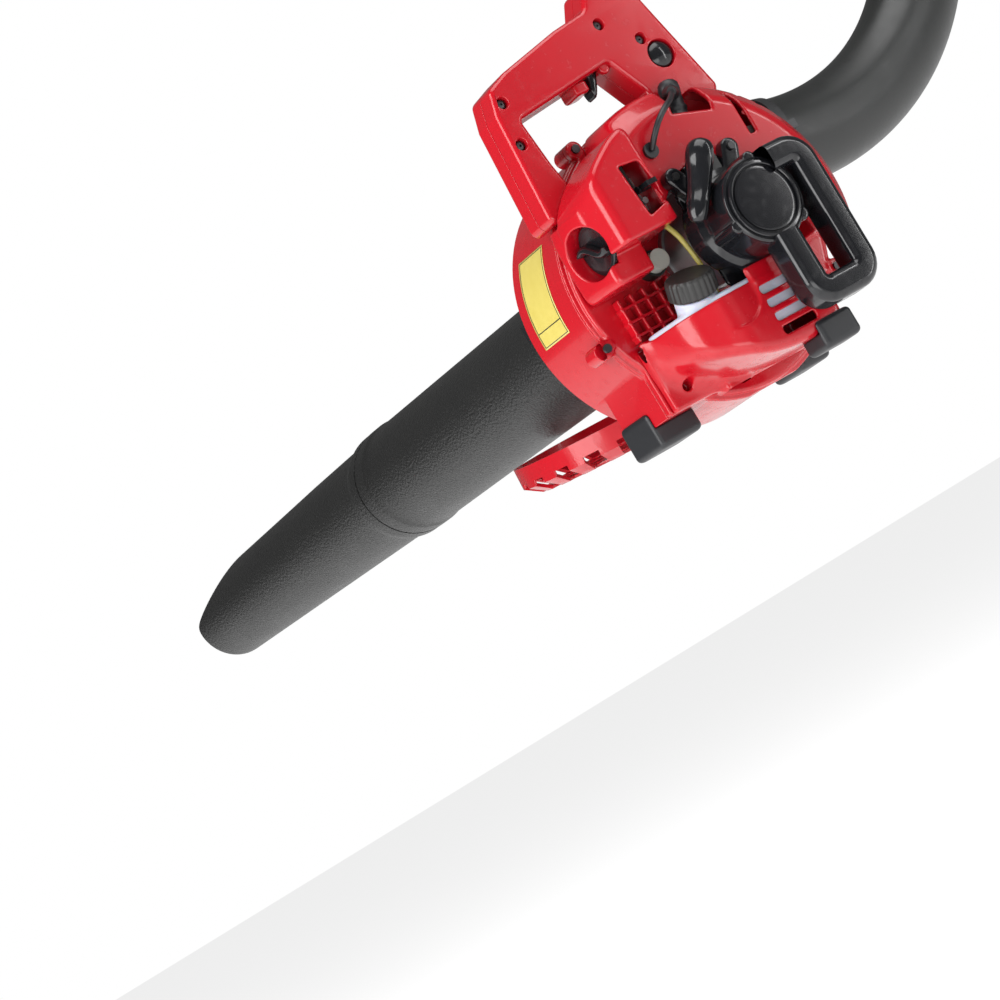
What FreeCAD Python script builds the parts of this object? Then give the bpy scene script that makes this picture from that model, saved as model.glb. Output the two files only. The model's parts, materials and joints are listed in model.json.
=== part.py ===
"""Handheld two-stroke blower-vac in its vacuum set-up: engine, fan drum, suction tubes, outlet elbow.

Everything is modelled about the crankshaft axis, which runs along Y: +X is the outlet side (front),
-Y the starter side, +Y the suction side and +Z up. save() moves each piece so that the feet stand on
z = 0 and the middle of the whole machine is over the origin. Lengths are millimetres.
"""
import FreeCAD, Part
import math
import os

os.makedirs("parts", exist_ok=True)
V = FreeCAD.Vector

# ---- driving dimensions --------------------------------------------------------------------------
AXIS_HEIGHT = 124.0            # crankshaft axis above the feet
MIDDLE_X, MIDDLE_Y = 186.0, 434.0      # middle of the machine, from the crankshaft axis
GAP = 0.4                      # clearance between pieces that move apart
WALL = 3.0                     # moulded wall
DRUM_R = 121.0                 # fan drum, outside
FLANGE_R = 124.5               # flange where the two drum halves meet
FAR_Y, SPLIT_Y, PLATE_Y = 22.0, -65.0, -72.0
COWL_R = 126.0                 # engine cowl, concentric with the drum
COWL_Y = -130.0                # near face of the cowl
FAN_R = 100.0
TUBE_R, TUBE_WALL = 55.0, 2.6  # upper suction tube
TUBE_END_Y = 540.0
MOUTH_Y, MOUTH_TOP_Y = 1058.0, 925.0   # lower tube: full length, and where its top is cut back
ELBOW_R, ELBOW_WALL = 39.3, 2.6
ELBOW_BEND_R = 252.0
ELBOW_TURN = 90.0
DUCT_START = V(150, -25, 55.2)  # where the duct ends and the bend begins
DUCT_SLOPE = -12.0             # degrees, down towards the front
HANDLE_Y = (-90.0, -71.0, -53.0)
STARTER_Y = -184.0             # near face of the starter
LOOP_Y = (-190.0, -162.0)      # loop handle, near and far face
CYL_Y = -102.0                 # plane of the cylinder axis
CYL_LEAN = 16.0                # degrees the cylinder leans to the front
PULL = V(-0.60, -0.66, 0.45)   # way the starter cord is pulled
GRIP_AT = V(-30, -162, 38)
LID_R = 105.0                  # intake grille lid
LID_TILT = 6.0                 # degrees above level, swung open
LID_HINGE = V(0, 45, -82)
BUTTON_AT = (57, 154)          # stop button, X and Z
GRIP_SCREWS = [(-100, 172), (-104.5, 136), (18.3, 196.7), (47, 172)]   # X and Z, top handle
SCREW_SEAT = -84               # foot of the handle's screw holes
BUTTON_R = 11.6
TRIGGER_PIN = (6.0, 186.0)
STAND = [(-103, -50), (-103, -106), (80, -106), (80, -88)]   # plinth under the drum, X and Z
BOSS_ANGLES = (114, 196, 330)  # screw bosses round the flange
BOSS_OUT = 3.4                 # boss centres, outside the flange
SHAFT_R = 6.0
ELBOW_TAIL = 44.0              # straight end of the outlet elbow
COLLAR_R = 43.0
HANDLE_OUT = [(-119, 66), (-112, 164), (-105, 186), (-84, 194), (-22, 207.5), (12, 212), (24, 232),
              (50, 236), (66, 208), (90, 112), (70, 80), (-60, 80)]
HANDLE_GAP = [(-93, 154), (7, 166), (25, 131), (22, 100), (-84, 84), (-89, 112)]
COWL_SIDE = [(-48, 24), (-48, 108), (-34, 130), (134, 130), (134, -36), (66, -36), (56, 24)]
GROMMET_XZ = (-32.0, 80.0)
NOSE_R = 36.0                  # starter's narrower near end
STARTER_ARMS = (-62, -122)     # degrees
PRIMER_XZ = (-51.0, 6.0)
KNOB_YZ = (-106.0, 33.0)
CHOKE_YZ = (-136.0, 56.0)
CHOKE_SLOT = [(-77, 78), (-57, 76), (-51, 38), (-73, 33)]
THROTTLE_XY = (-52.0, -104.0)
TANK_TOP = -44.0
CAP_FOOT = V(-62, -122, -41)
CAP_WAY = V(-0.05, -0.42, 0.906)
FUEL_LINE = [V(-48, -113, 32), V(-44, -119, 18), V(-40.5, -120, 0), V(-37, -118, -20),
             V(-36, -115, -44)]


# ---- small builders ------------------------------------------------------------------------------
def rod(start, end, radius):
    """A solid round bar between two points."""
    run = end - start
    return Part.makeCylinder(radius, run.Length, start, run)


def rod_y(x, z, radius, y0, y1):
    """A round bar along Y."""
    return rod(V(x, y0, z), V(x, y1, z), radius)


def rod_x(y, z, radius, x0, x1):
    """A round bar along X."""
    return rod(V(x0, y, z), V(x1, y, z), radius)


def rod_z(x, y, radius, z0, z1):
    """A round bar along Z."""
    return rod(V(x, y, z0), V(x, y, z1), radius)


def ring_y(x, z, outer, inner, y0, y1):
    """A round sleeve along Y."""
    return rod_y(x, z, outer, y0, y1).cut(rod_y(x, z, inner, y0 - 1, y1 + 1))


def box(x0, x1, y0, y1, z0, z1):
    """A box from its limits."""
    return Part.makeBox(x1 - x0, y1 - y0, z1 - z0, V(x0, y0, z0))


def outline(points, radius):
    """A closed wire through points in one plane, each corner rounded with an arc of this radius."""
    if radius <= 0:
        return Part.makePolygon(points + [points[0]])
    edges = []
    last_end = None
    first_start = None
    count = len(points)
    for i, corner in enumerate(points):
        before = (points[i - 1] - corner).normalize()
        after = (points[(i + 1) % count] - corner).normalize()
        half = before.getAngle(after) / 2
        reach = radius / math.tan(half)
        start, end = corner + before * reach, corner + after * reach
        middle = (before + after).normalize()
        top = corner + middle * (radius / math.sin(half) - radius)
        if last_end is not None:
            edges.append(Part.makeLine(last_end, start))
        else:
            first_start = start
        edges.append(Part.Arc(start, top, end).toShape())
        last_end = end
    edges.append(Part.makeLine(last_end, first_start))
    return Part.Wire(edges)


def prism_y(points, y0, y1, radius=0):
    """An outline in XZ pushed along Y."""
    wire = outline([V(x, y0, z) for x, z in points], radius)
    return Part.Face(wire).extrude(V(0, y1 - y0, 0))


def prism_x(points, x0, x1, radius=0):
    """An outline in YZ pushed along X."""
    wire = outline([V(x0, y, z) for y, z in points], radius)
    return Part.Face(wire).extrude(V(x1 - x0, 0, 0))


def prism_z(points, z0, z1, radius=0):
    """An outline in XY pushed along Z."""
    wire = outline([V(x, y, z0) for x, y in points], radius)
    return Part.Face(wire).extrude(V(0, 0, z1 - z0))


def fuse(shapes):
    """All the shapes joined into one, with leftover seams removed."""
    whole = shapes[0].multiFuse(shapes[1:]) if len(shapes) > 1 else shapes[0]
    return whole.removeSplitter()


def turned(shape, degrees, axis=V(0, 1, 0), at=V(0, 0, 0)):
    """A copy turned about an axis through a point."""
    copy = shape.copy()
    copy.rotate(at, axis, degrees)
    return copy


def cord(points, radius):
    """A round cord through the points: straight runs joined by tangent arcs as large as fit."""
    edges = []
    here = points[0]
    for before, corner, after in zip(points, points[1:], points[2:]):
        back, on = (before - corner), (after - corner)
        turn = math.pi - back.getAngle(on)
        reach = 0.45 * min(back.Length, on.Length)
        bend = reach / math.tan(turn / 2)
        print(f"cord arc radius {bend:.1f}")
        a, b = back.normalize(), on.normalize()
        start, end = corner + a * reach, corner + b * reach
        half = (math.pi - turn) / 2
        top = corner + (a + b).normalize() * (bend / math.sin(half) - bend)
        edges.append(Part.makeLine(here, start))
        edges.append(Part.Arc(start, top, end).toShape())
        here = end
    edges.append(Part.makeLine(here, points[-1]))
    path = Part.Wire(edges)
    section = Part.Wire(Part.makeCircle(radius, points[0], points[1] - points[0]))
    return path.makePipeShell([section], True, False)


def save(name, shape):
    """Write one piece, moved from the crankshaft axis to the frame of the whole machine."""
    placed = shape.copy()
    placed.translate(V(-MIDDLE_X, -MIDDLE_Y, AXIS_HEIGHT))
    bad = [solid for solid in placed.Solids if not solid.isValid()]
    if bad or not placed.Solids:
        print("CHECK", name, len(placed.Solids), "solids,", len(bad), "not valid")
    placed.exportStep(f"parts/{name}.step")


# ---- fan drum ------------------------------------------------------------------------------------
def duct_line(distance):
    """A point on the straight outlet duct's axis, measured from its end."""
    slope = math.radians(DUCT_SLOPE)
    return DUCT_START + V(math.cos(slope), 0, math.sin(slope)) * distance


def round_drum(radius, degrees):
    """X and Z of a point on a circle about the crankshaft, measured from the front."""
    return radius * math.cos(math.radians(degrees)), radius * math.sin(math.radians(degrees))


def flange_bosses(y0, y1, radius=7.5):
    """Screw bosses that stand on the drum's flange."""
    return [rod_y(*round_drum(FLANGE_R + BOSS_OUT, a), radius, y0, y1) for a in BOSS_ANGLES]


def flange_ring(y0, y1):
    """Flange of one drum half, flattened underneath to clear the ground."""
    ring = ring_y(0, 0, FLANGE_R, DRUM_R - 1, y0, y1)
    return ring.common(box(-140, 140, y0, y1, 2 - AXIS_HEIGHT, 140))


def volute_intake_half():
    """Drum wall, far face with the tube collar, outlet duct with its spigot, and the rear stand."""
    stand = prism_y(STAND, SPLIT_Y, 0)
    room = box(STAND[0][0] + WALL, STAND[2][0] - WALL, SPLIT_Y + WALL, -WALL, STAND[1][1] + WALL,
               -50).cut(rod_y(0, 0, DRUM_R, SPLIT_Y - 1, 1))
    lugs = [box(x - 5, x + 5, FAR_Y - 1, LID_HINGE.y + 5, LID_HINGE.z - 5, LID_HINGE.z + 7)
            for x in (-34, 34)]
    whole = fuse([rod_y(0, 0, DRUM_R, SPLIT_Y, FAR_Y), stand.cut(room),
                  rod(duct_line(-130), duct_line(-15), 39.0), rod(duct_line(-20), duct_line(18), 36.0),
                  rod_y(0, 0, TUBE_R + 4, FAR_Y - 1, FAR_Y + 18),
                  flange_ring(SPLIT_Y, SPLIT_Y + 3)] + flange_bosses(SPLIT_Y, -48) + lugs)
    inside = fuse([rod_y(0, 0, DRUM_R - WALL, SPLIT_Y - 1, FAR_Y - WALL),
                   rod_y(0, 0, TUBE_R + GAP, FAR_Y, FAR_Y + 19),
                   rod_y(0, 0, 47.0, FAR_Y - 4, FAR_Y + 1)])
    whole = whole.cut(inside).cut(rod(duct_line(-100), duct_line(19), 33.0))
    return whole.cut(rod_x(LID_HINGE.y, LID_HINGE.z, 2.5, -60, 60))


def volute_engine_half():
    """Back plate of the drum, with a flange, the stand's near wall, ribs and the crankcase seat."""
    plate = fuse([rod_y(0, 0, DRUM_R, PLATE_Y, SPLIT_Y), prism_y(STAND, PLATE_Y, SPLIT_Y)])
    plate = plate.cut(rod_y(0, 0, DRUM_R - WALL, PLATE_Y + WALL, SPLIT_Y + 1))
    ribs = [box(x, x + 2.4, PLATE_Y - 9, PLATE_Y + 1, -44, -6) for x in range(-98, -44, 13)]
    ribs += [box(-100, -44, PLATE_Y - 9, PLATE_Y + 1, z, z + 2.4) for z in (-40, -28, -16)]
    inside = rod_y(0, 0, DRUM_R - 0.5, PLATE_Y - 10, PLATE_Y + 1)
    ribs = [rib.common(inside) for rib in ribs]
    whole = fuse([plate, flange_ring(SPLIT_Y - 3, SPLIT_Y)] + ribs + flange_bosses(PLATE_Y, SPLIT_Y))
    whole = whole.cut(rod_y(0, 0, 20.0, PLATE_Y - 12, SPLIT_Y))
    return whole.cut(rod_y(-82, -91, 4.0, PLATE_Y - 1, SPLIT_Y - 2))


def impeller():
    """Twelve straight leaned-back vanes on a back plate with a hub."""
    vanes = []
    for i in range(12):
        vane = turned(box(30, FAN_R + 20, -58, -12, -1.2, 1.2), 28, at=V(30, 0, 0))
        vanes.append(turned(vane, 30 * i).common(rod_y(0, 0, FAN_R, -62, -10)))
    return fuse([rod_y(0, 0, FAN_R, -60, -57), rod_y(0, 0, 16, -62, -30)] + vanes).cut(
        rod_y(0, 0, SHAFT_R, -63, -29))


# ---- suction and outlet tubes --------------------------------------------------------------------
def upper_tube():
    """Plain suction tube with a thicker bead at its outer end."""
    tube = ring_y(0, 0, TUBE_R, TUBE_R - TUBE_WALL, FAR_Y + GAP, TUBE_END_Y)
    bead = ring_y(0, 0, TUBE_R + 1.2, TUBE_R - 1, TUBE_END_Y - 16, TUBE_END_Y)
    return fuse([tube, bead])


def lower_tube():
    """Tapered tube: a bayonet socket inside the upper tube, a shoulder and a mouth cut back on top."""
    along = V(0, 1, 0)
    inner_r = TUBE_R - TUBE_WALL - GAP
    run = MOUTH_Y - TUBE_END_Y
    solid = fuse([rod_y(0, 0, inner_r, TUBE_END_Y - 40, TUBE_END_Y + 2),
                  rod_y(0, 0, TUBE_R + 1.2, TUBE_END_Y + GAP, TUBE_END_Y + 14),
                  Part.makeCone(TUBE_R + 1.2, 52.5, 12, V(0, TUBE_END_Y + 14, 0), along),
                  Part.makeCone(53.0, 46.0, run - GAP, V(0, TUBE_END_Y + GAP, 0), along)])
    bore = fuse([rod_y(0, 0, inner_r - 2.4, TUBE_END_Y - 41, TUBE_END_Y + 1),
                 Part.makeCone(inner_r - 2.4, 43.4, run + 1, V(0, TUBE_END_Y, 0), along)])
    top_cut = prism_x([(MOUTH_Y + 5, 6), (MOUTH_TOP_Y - 4, 50), (MOUTH_TOP_Y - 30, 70),
                       (MOUTH_Y + 5, 70)], -80, 80)
    return solid.cut(bore).cut(top_cut)


def elbow_frame():
    """Centre of the bend, its end point and the way it leaves."""
    slope = math.radians(DUCT_SLOPE)
    centre = DUCT_START + V(-math.sin(slope), 0, math.cos(slope)) * ELBOW_BEND_R
    last = math.radians(DUCT_SLOPE + ELBOW_TURN)
    end = centre + V(math.sin(last), 0, -math.cos(last)) * ELBOW_BEND_R
    return centre, end, V(math.cos(last), 0, math.sin(last))


def elbow():
    """Outlet bend: a round section turned about the centre of the bend, with a straight end each way."""
    centre, end, out = elbow_frame()

    def bent(radius, extra):
        ring = Part.Wire(Part.makeCircle(radius, DUCT_START, duct_line(1) - DUCT_START))
        bend = Part.Face(ring).revolve(centre, V(0, -1, 0), ELBOW_TURN)
        return fuse([rod(duct_line(-14 - extra), DUCT_START, radius), bend,
                     rod(end, end + out * (ELBOW_TAIL + extra), radius)])

    return bent(ELBOW_R, 0).cut(bent(ELBOW_R - ELBOW_WALL, 1))


def bag_collar():
    """Collar pressed over the elbow's end with a stop rim, for the neck of the collecting bag."""
    end, out = elbow_frame()[1:]
    foot = end + out * (ELBOW_TAIL - 32)
    top = end + out * (ELBOW_TAIL + 4)
    body = fuse([rod(foot, top, COLLAR_R), rod(foot, foot + out * 5, COLLAR_R + 3)])
    return body.cut(rod(foot - out, end + out * ELBOW_TAIL, ELBOW_R)).cut(
        rod(end, top + out, ELBOW_R - ELBOW_WALL))


def elbow_clamp():
    """Band round the elbow's socket with a screw lug below it."""
    a, b = duct_line(-11), duct_line(-1)
    band = rod(a, b, ELBOW_R + 2.2)
    lug = box(-5, 5, -12, 0, -4, 4)
    lug.translate((a + b) * 0.5 + V(0, -ELBOW_R, 0))
    return fuse([band, lug]).cut(rod(duct_line(-30), duct_line(20), ELBOW_R))


# ---- intake lid ----------------------------------------------------------------------------------
def lid():
    """Intake grille lid, built closed against the far face, then swung open on its hinge."""
    middle = LID_HINGE.z + LID_R
    back = LID_HINGE.y
    depth, dish = 19.0, 9.0
    out = V(0, 1, 0)
    shell = fuse([rod_y(0, middle, LID_R, back, back + depth),
                  Part.makeCone(LID_R, LID_R - 14, dish, V(0, back + depth - 0.1, middle), out)])
    shell = shell.cut(fuse([rod_y(0, middle, LID_R - 2.6, back - 1, back + depth - 2),
                            Part.makeCone(LID_R - 2.6, LID_R - 16, dish - 0.5,
                                          V(0, back + depth - 2.1, middle), out)]))
    slots = [turned(box(LID_R - 20, LID_R + 3, back + depth - 5, back + depth + 12, -8, 8), 18 * i)
             for i in range(20)]
    for middle_r, half, count in ((68, 11, 16), (40, 11, 10)):
        slots += [turned(box(middle_r - half, middle_r + half, back + depth, back + depth + 12, -6, 6),
                         360.0 / count * i) for i in range(count)]
    slots = Part.makeCompound(slots)
    slots.translate(V(0, 0, middle))
    shell = shell.cut(slots)
    shell = shell.cut(box(-52, 52, back - 1, back + 12, LID_HINGE.z - 3, LID_HINGE.z + 22))
    ears = [box(x - 4, x + 4, back - 4, back + 20, LID_HINGE.z - 4, LID_HINGE.z + 12)
            for x in (-44, -24, 24, 44)]
    whole = fuse([shell] + ears).cut(rod_x(LID_HINGE.y, LID_HINGE.z, 2.55, -60, 60))
    return turned(whole, -(90 - LID_TILT), V(1, 0, 0), LID_HINGE)


# ---- handle --------------------------------------------------------------------------------------
def handle_half(y0, y1):
    """One moulded half of the top handle: rear post, grip and front post, with the trigger's pocket."""
    far = y1 > HANDLE_Y[1]
    rear_bosses = [rod_y(x, z, 7, y0, y1 + 6) for x, z in ((-113, 121), (-119, 84))] if far else []
    shell = fuse([prism_y(HANDLE_OUT, y0, y1, 6)] + rear_bosses).cut(prism_y(HANDLE_GAP, y0 - 1, y1 + 1, 4))
    bosses = [rod_y(*round_drum(FLANGE_R + BOSS_OUT, a), 8.5, -80, -40) for a in BOSS_ANGLES]
    shell = shell.cut(fuse([rod_y(0, 0, COWL_R + 0.5, y0 - 1, y1 + 1)] + bosses))
    x, z = TRIGGER_PIN
    pocket = prism_y([(-36, 120), (-36, 193), (16, 201), (28, 172), (28, 120)], -81, -61)
    button_seat = rod_y(*BUTTON_AT, BUTTON_R + GAP, HANDLE_Y[0] - 1, -74)
    screw_holes = [rod_y(sx, sz, 4.6, HANDLE_Y[0] - 1, SCREW_SEAT) for sx, sz in GRIP_SCREWS]
    shell = shell.cut(fuse(screw_holes))
    return shell.cut(pocket).cut(rod_y(x, z, 2.5, y0 + 5, y1 - 5)).cut(button_seat)


def trigger():
    """Throttle trigger: a curved finger piece below a pivot eye."""
    x, z = TRIGGER_PIN
    blade = prism_y([(-8, 191), (10, 192), (12, 182), (4, 168), (-3, 152), (-12, 142), (-15, 154),
                     (-13, 166), (-15, 180)], -79, -63, 1.5)
    return blade.cut(rod_y(x, z, 2.55, -80, -60))


# ---- engine --------------------------------------------------------------------------------------
def leaned(shape):
    """The shape leaned to the front with the cylinder, about the crankshaft."""
    return turned(shape, CYL_LEAN)


BOOT_TOP = leaned(rod_z(0, CYL_Y, 1, 120, 126)).CenterOfMass
LEAD = [BOOT_TOP + V(-9, -15, -1), V(10, -133, 110), V(-8, -143, 104), V(-25, -143, 93),
        V(-32, -133, 80)]


def crankcase():
    """Round case with bearing seats, a deck for the cylinder and a foot ring on the drum plate."""
    outer = fuse([rod_y(0, 0, 34, -124, PLATE_Y), leaned(box(-26, 26, -122, -82, 0, 38)),
                  rod_y(0, 0, 36, PLATE_Y - 6, PLATE_Y)])
    inner = fuse([rod_y(0, 0, 28, -116, -85), leaned(rod_z(0, CYL_Y, 13, 0, 39)),
                  rod_y(0, 0, 13, -125, -116), rod_y(0, 0, 13, -85, PLATE_Y + 1)])
    return outer.cut(inner)


def cylinder():
    """Barrel with cooling fins, an inlet neck at the rear and an exhaust neck at the front."""
    barrel = rod_z(0, CYL_Y, 21, 38, 92)
    fins = [box(-28, 28, CYL_Y - 24, CYL_Y + 24, z, z + 1.8) for z in (46, 52, 58, 64, 70, 76, 82, 88)]
    foot = box(-25, 25, CYL_Y - 18, CYL_Y + 18, 38, 42)
    exhaust = box(0, 34, CYL_Y - 12, CYL_Y + 12, 46, 66)
    whole = leaned(fuse([barrel, foot, exhaust] + fins))
    whole = fuse([whole, box(-29, 10, CYL_Y - 12, CYL_Y + 12, 47, 65)])
    bore = leaned(fuse([rod_z(0, CYL_Y, 17.1, 37, 86), rod_z(0, CYL_Y, 7, 80, 95),
                        rod_x(CYL_Y, 56, 7, 0, 35)]))
    return whole.cut(bore).cut(rod_x(CYL_Y, 56, 6, -40, 5))


def crankshaft():
    """Shaft with two full webs and a crank pin between them."""
    return fuse([rod_y(0, 0, SHAFT_R, -146.5, -110), rod_y(0, 0, 24, -112, -107),
                 rod_y(14, 0, 5, -108, -96), rod_y(0, 0, 24, -97, -92), rod_y(0, 0, SHAFT_R, -94, -16)])


def flywheel():
    """Magnet wheel with cooling vanes on its near face."""
    vanes = [turned(box(20, 36, -143, -136, -1, 1), 36 * i) for i in range(10)]
    return fuse([rod_y(0, 0, 38, -137, -129), rod_y(0, 0, 12, -143, -126.5)] + vanes).cut(
        rod_y(0, 0, SHAFT_R, -145, -120))


def engine_cowl():
    """Cowl over the cylinder: drum-round top and front with vents, near face with a starter window."""
    def drum(radius, near):
        tip = near + 18
        cone = Part.makeCone(radius - 18, radius, tip - near, V(0, near, 0), V(0, 1, 0))
        return fuse([cone, rod_y(0, 0, radius, tip, PLATE_Y)])

    outer = drum(COWL_R, COWL_Y).common(prism_y(COWL_SIDE, COWL_Y, PLATE_Y))
    side = [(-45, 20), (-45, 107), (-32, 128), (131, 128), (131, -40), (69, -40), (69, 20)]
    inner = drum(COWL_R - WALL, COWL_Y + WALL).common(prism_y(side, COWL_Y + WALL, PLATE_Y + 1))
    shell = outer.cut(inner).cut(rod_y(0, 0, 58, COWL_Y - 1, COWL_Y + WALL + 1))
    shell = shell.cut(prism_y([(62, 58), (68, 58), (68, 96), (62, 96)], COWL_Y - 1, COWL_Y + 10))
    vents = [turned(box(COWL_R - 22, COWL_R + 4, COWL_Y - 2, -92, -2.6, 2.6), -a)
             for a in (22, 31, 40, 49)]
    notch = leaned(box(-22, 15, COWL_Y - 1, CYL_Y + 15, 97, 140))
    carb_window = box(-49, -44, COWL_Y - 1, -84, 20, 85)
    shell = shell.cut(Part.makeCompound(vents)).cut(notch).cut(carb_window)
    return shell.cut(rod_y(*GROMMET_XZ, 4, COWL_Y - 1, -120))


def spark_plug():
    """Threaded end, hexagon and insulator."""
    corners = [(9 * math.cos(math.radians(60 * i)), CYL_Y + 9 * math.sin(math.radians(60 * i)))
               for i in range(6)]
    return leaned(fuse([rod_z(0, CYL_Y, 6.95, 86.5, 93), prism_z(corners, 92, 99),
                        rod_z(0, CYL_Y, 5, 98, 110)]))


def plug_boot():
    """Rubber boot over the plug, with a nose where the lead leaves."""
    body = leaned(rod_z(0, CYL_Y, 9.5, 102, 134))
    return fuse([body, rod(BOOT_TOP, LEAD[0], 6.0)]).cut(leaned(rod_z(0, CYL_Y, 5, 101, 110)))


def muffler():
    """Pressed two-shell muffler with a gas deflector."""
    body = prism_y([(56, 20), (56, 66), (84, 62), (94, 20)], CYL_Y - 22, CYL_Y + 24, 4)
    return fuse([body, box(50, 58, CYL_Y - 12, CYL_Y + 12, 30, 48)])


# ---- air and fuel --------------------------------------------------------------------------------
def filter_cover():
    """Box-shaped cover open towards the carburettor, with a knob recess and a choke slot."""
    near, far, foot_far = -146, -90.6, PLATE_Y - 1
    plan = [(-122, foot_far), (-122, -86), (-106, near), (-49, near), (-49, foot_far)]
    profile = [(-122, -2), (-122, 60), (-106, 82), (-62, 107), (-49, 107), (-49, 22), (-76, 22),
               (-76, -2)]
    outer = prism_y(profile, near, foot_far).common(prism_z(plan, -2, 107))
    outer = outer.cut(box(-130, -48, near - 1, -120, -3, 22))
    outer = outer.cut(box(-130, -48, far, 0, 64, 120)).cut(box(-76.5, -48, far, 0, 0, 120))
    room_plan = [(-119, far - WALL), (-103.3, near + WALL), (-48, near + WALL), (-48, far - WALL)]
    room = [(-119, 25), (-119, 59), (-104.5, 79), (-61, 104), (-48, 104), (-48, 25)]
    inner = fuse([prism_y(room, near + WALL, far - WALL).common(prism_z(room_plan, 25, 104)),
                  box(-119, -79, -120 + WALL, foot_far - WALL, 1, 59)])
    seat = rod_x(*KNOB_YZ, 25, -125, -100).common(outer)
    cover = fuse([outer.cut(inner), seat]).cut(rod_x(*KNOB_YZ, 22, -125, -103))
    return cover.cut(rod_x(*KNOB_YZ, 4.5, -110, -95)).cut(prism_y(CHOKE_SLOT, near - 1, near + 4))


def filter_knob():
    """S-shaped wing on a short screw."""
    y, z = KNOB_YZ
    wing = prism_x([(y - 17, z - 6), (y - 7, z - 9), (y + 5, z - 3), (y + 17, z + 1), (y + 17, z + 8),
                    (y + 6, z + 8), (y - 5, z + 2), (y - 17, z + 4)], -114, -103 - GAP, 1.5)
    return fuse([wing, rod_x(y, z, 4.0, -104, -80)])


def carburettor():
    """Diaphragm carburettor: body, pump cover, fuel inlet and adjusting screws."""
    body = box(-64, -40, CYL_Y - 17, CYL_Y + 8, 41, 70)
    cover = box(-62, -42, CYL_Y - 14, CYL_Y + 8, 70, 75)
    pump = box(-63, -41, CYL_Y - 15, CYL_Y + 8, 35, 41)
    screws = [rod_y(x, 48, 2.6, CYL_Y - 26, CYL_Y - 16) for x in (-58, -49)]
    nipple = rod(FUEL_LINE[0], FUEL_LINE[0] + (FUEL_LINE[0] - FUEL_LINE[1]).normalize() * 5, 2.2)
    return fuse([body, cover, pump, nipple] + screws).cut(rod_x(CYL_Y, 56, 7.5, -67, -36))


def tank_plan(grow):
    """Plan of the tank, grown outwards by a margin; its far side stays at the drum plate."""
    far = -82.0
    return [(-98 - grow, far), (-83 - grow, -127 - grow * 0.7), (-58 - grow * 0.5, -146 - grow),
            (34 + grow, -146 - grow), (34 + grow, far)]


def tank_slope(inset):
    """What the sloping rear corner takes off the tank and its guard."""
    return prism_y([(-140, -52), (-101 + inset, -56), (-88 + inset, -82), (-50 + inset, -103 + inset),
                    (-26, -111), (-26, -125), (-140, -125)], -155, -70)


def fuel_tank():
    """Moulded tank with a leaning filler neck, hollow inside."""
    neck = rod(CAP_FOOT - CAP_WAY * 10, CAP_FOOT + CAP_WAY * 6, 17.5)
    outer = fuse([prism_z(tank_plan(0), -88, TANK_TOP).cut(tank_slope(5)), neck])
    inside = prism_z(tank_plan(-2.5), -85.5, TANK_TOP - 2.5).cut(tank_slope(8)).cut(
        box(-200, 200, -84, 0, -90, -40))
    return outer.cut(inside).cut(rod(CAP_FOOT - CAP_WAY * 12, CAP_FOOT + CAP_WAY * 7, 14.5))


def fuel_cap():
    """Screw cap with a finger rib across its top and a plug inside the neck."""
    skirt = rod(CAP_FOOT + CAP_WAY * 7.5, CAP_FOOT + CAP_WAY * 24, 20)
    rib = box(-15, 15, -3, 3, 0, 6)
    rib.rotate(V(0, 0, 0), V(1, 0, 0), 25)
    rib.translate(CAP_FOOT + CAP_WAY * 22)
    return fuse([skirt, rib, rod(CAP_FOOT - CAP_WAY * 4, CAP_FOOT + CAP_WAY * 8, 14.4)])


def tank_guard():
    """Bowl round the tank: slotted near face, sloping rear corner and closed floor."""
    outer = fuse([prism_z(tank_plan(WALL + GAP), -110, -48),
                  box(-50, 34 + WALL + GAP, -82.5, PLATE_Y, -110, -86)]).cut(tank_slope(0))
    inner = fuse([prism_z(tank_plan(GAP), -107, -47),
                  box(-47, 34 + GAP, -83, PLATE_Y + 1, -107, -85)]).cut(tank_slope(3.5))
    raised = box(-46, 34 + WALL, -146 - WALL - GAP, -146 - GAP, -49, -37)
    slots = [box(-22, 10, -152, -145, z, z + 7) for z in (-98, -86, -74, -62)]
    return fuse([outer.cut(inner), raised]).cut(Part.makeCompound(slots))


# ---- starter and loop handle ---------------------------------------------------------------------
def starter_housing():
    """Round housing over the flywheel, a nose for the recoil spring, screw arms and a cord hole."""
    arms = [turned(box(34, 66, -142, COWL_Y, -8, 8), a) for a in STARTER_ARMS]
    inner = fuse([rod_y(0, 0, 40, -143.4, -126), rod_y(0, 0, 33, STARTER_Y + 3, -143)])
    shell = fuse([rod_y(0, 0, 43, -146, -127), rod_y(0, 0, NOSE_R, STARTER_Y, -145)] + arms).cut(inner)
    post = rod_y(0, 0, 7.5, STARTER_Y + 2, -148)
    shell = fuse([shell, post]).cut(rod(GRIP_AT - PULL * 34, GRIP_AT, 7))
    return shell.cut(rod_y(0, 0, 29, STARTER_Y - 1, STARTER_Y + 1.5))


def rope_guide():
    """Eyelet in the starter's wall that the cord runs through."""
    sleeve = rod(GRIP_AT - PULL * 19, GRIP_AT - PULL * 9.5, 7)
    return sleeve.cut(rod(GRIP_AT - PULL * 30, GRIP_AT, 2.6))


def starter_grip():
    """T-shaped pull grip with its stem."""
    across = V(0.6, 0, 0.8)
    return fuse([rod(GRIP_AT - across * 30, GRIP_AT + across * 30, 8.5),
                 rod(GRIP_AT - PULL * 9, GRIP_AT, 5.5)])


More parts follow.
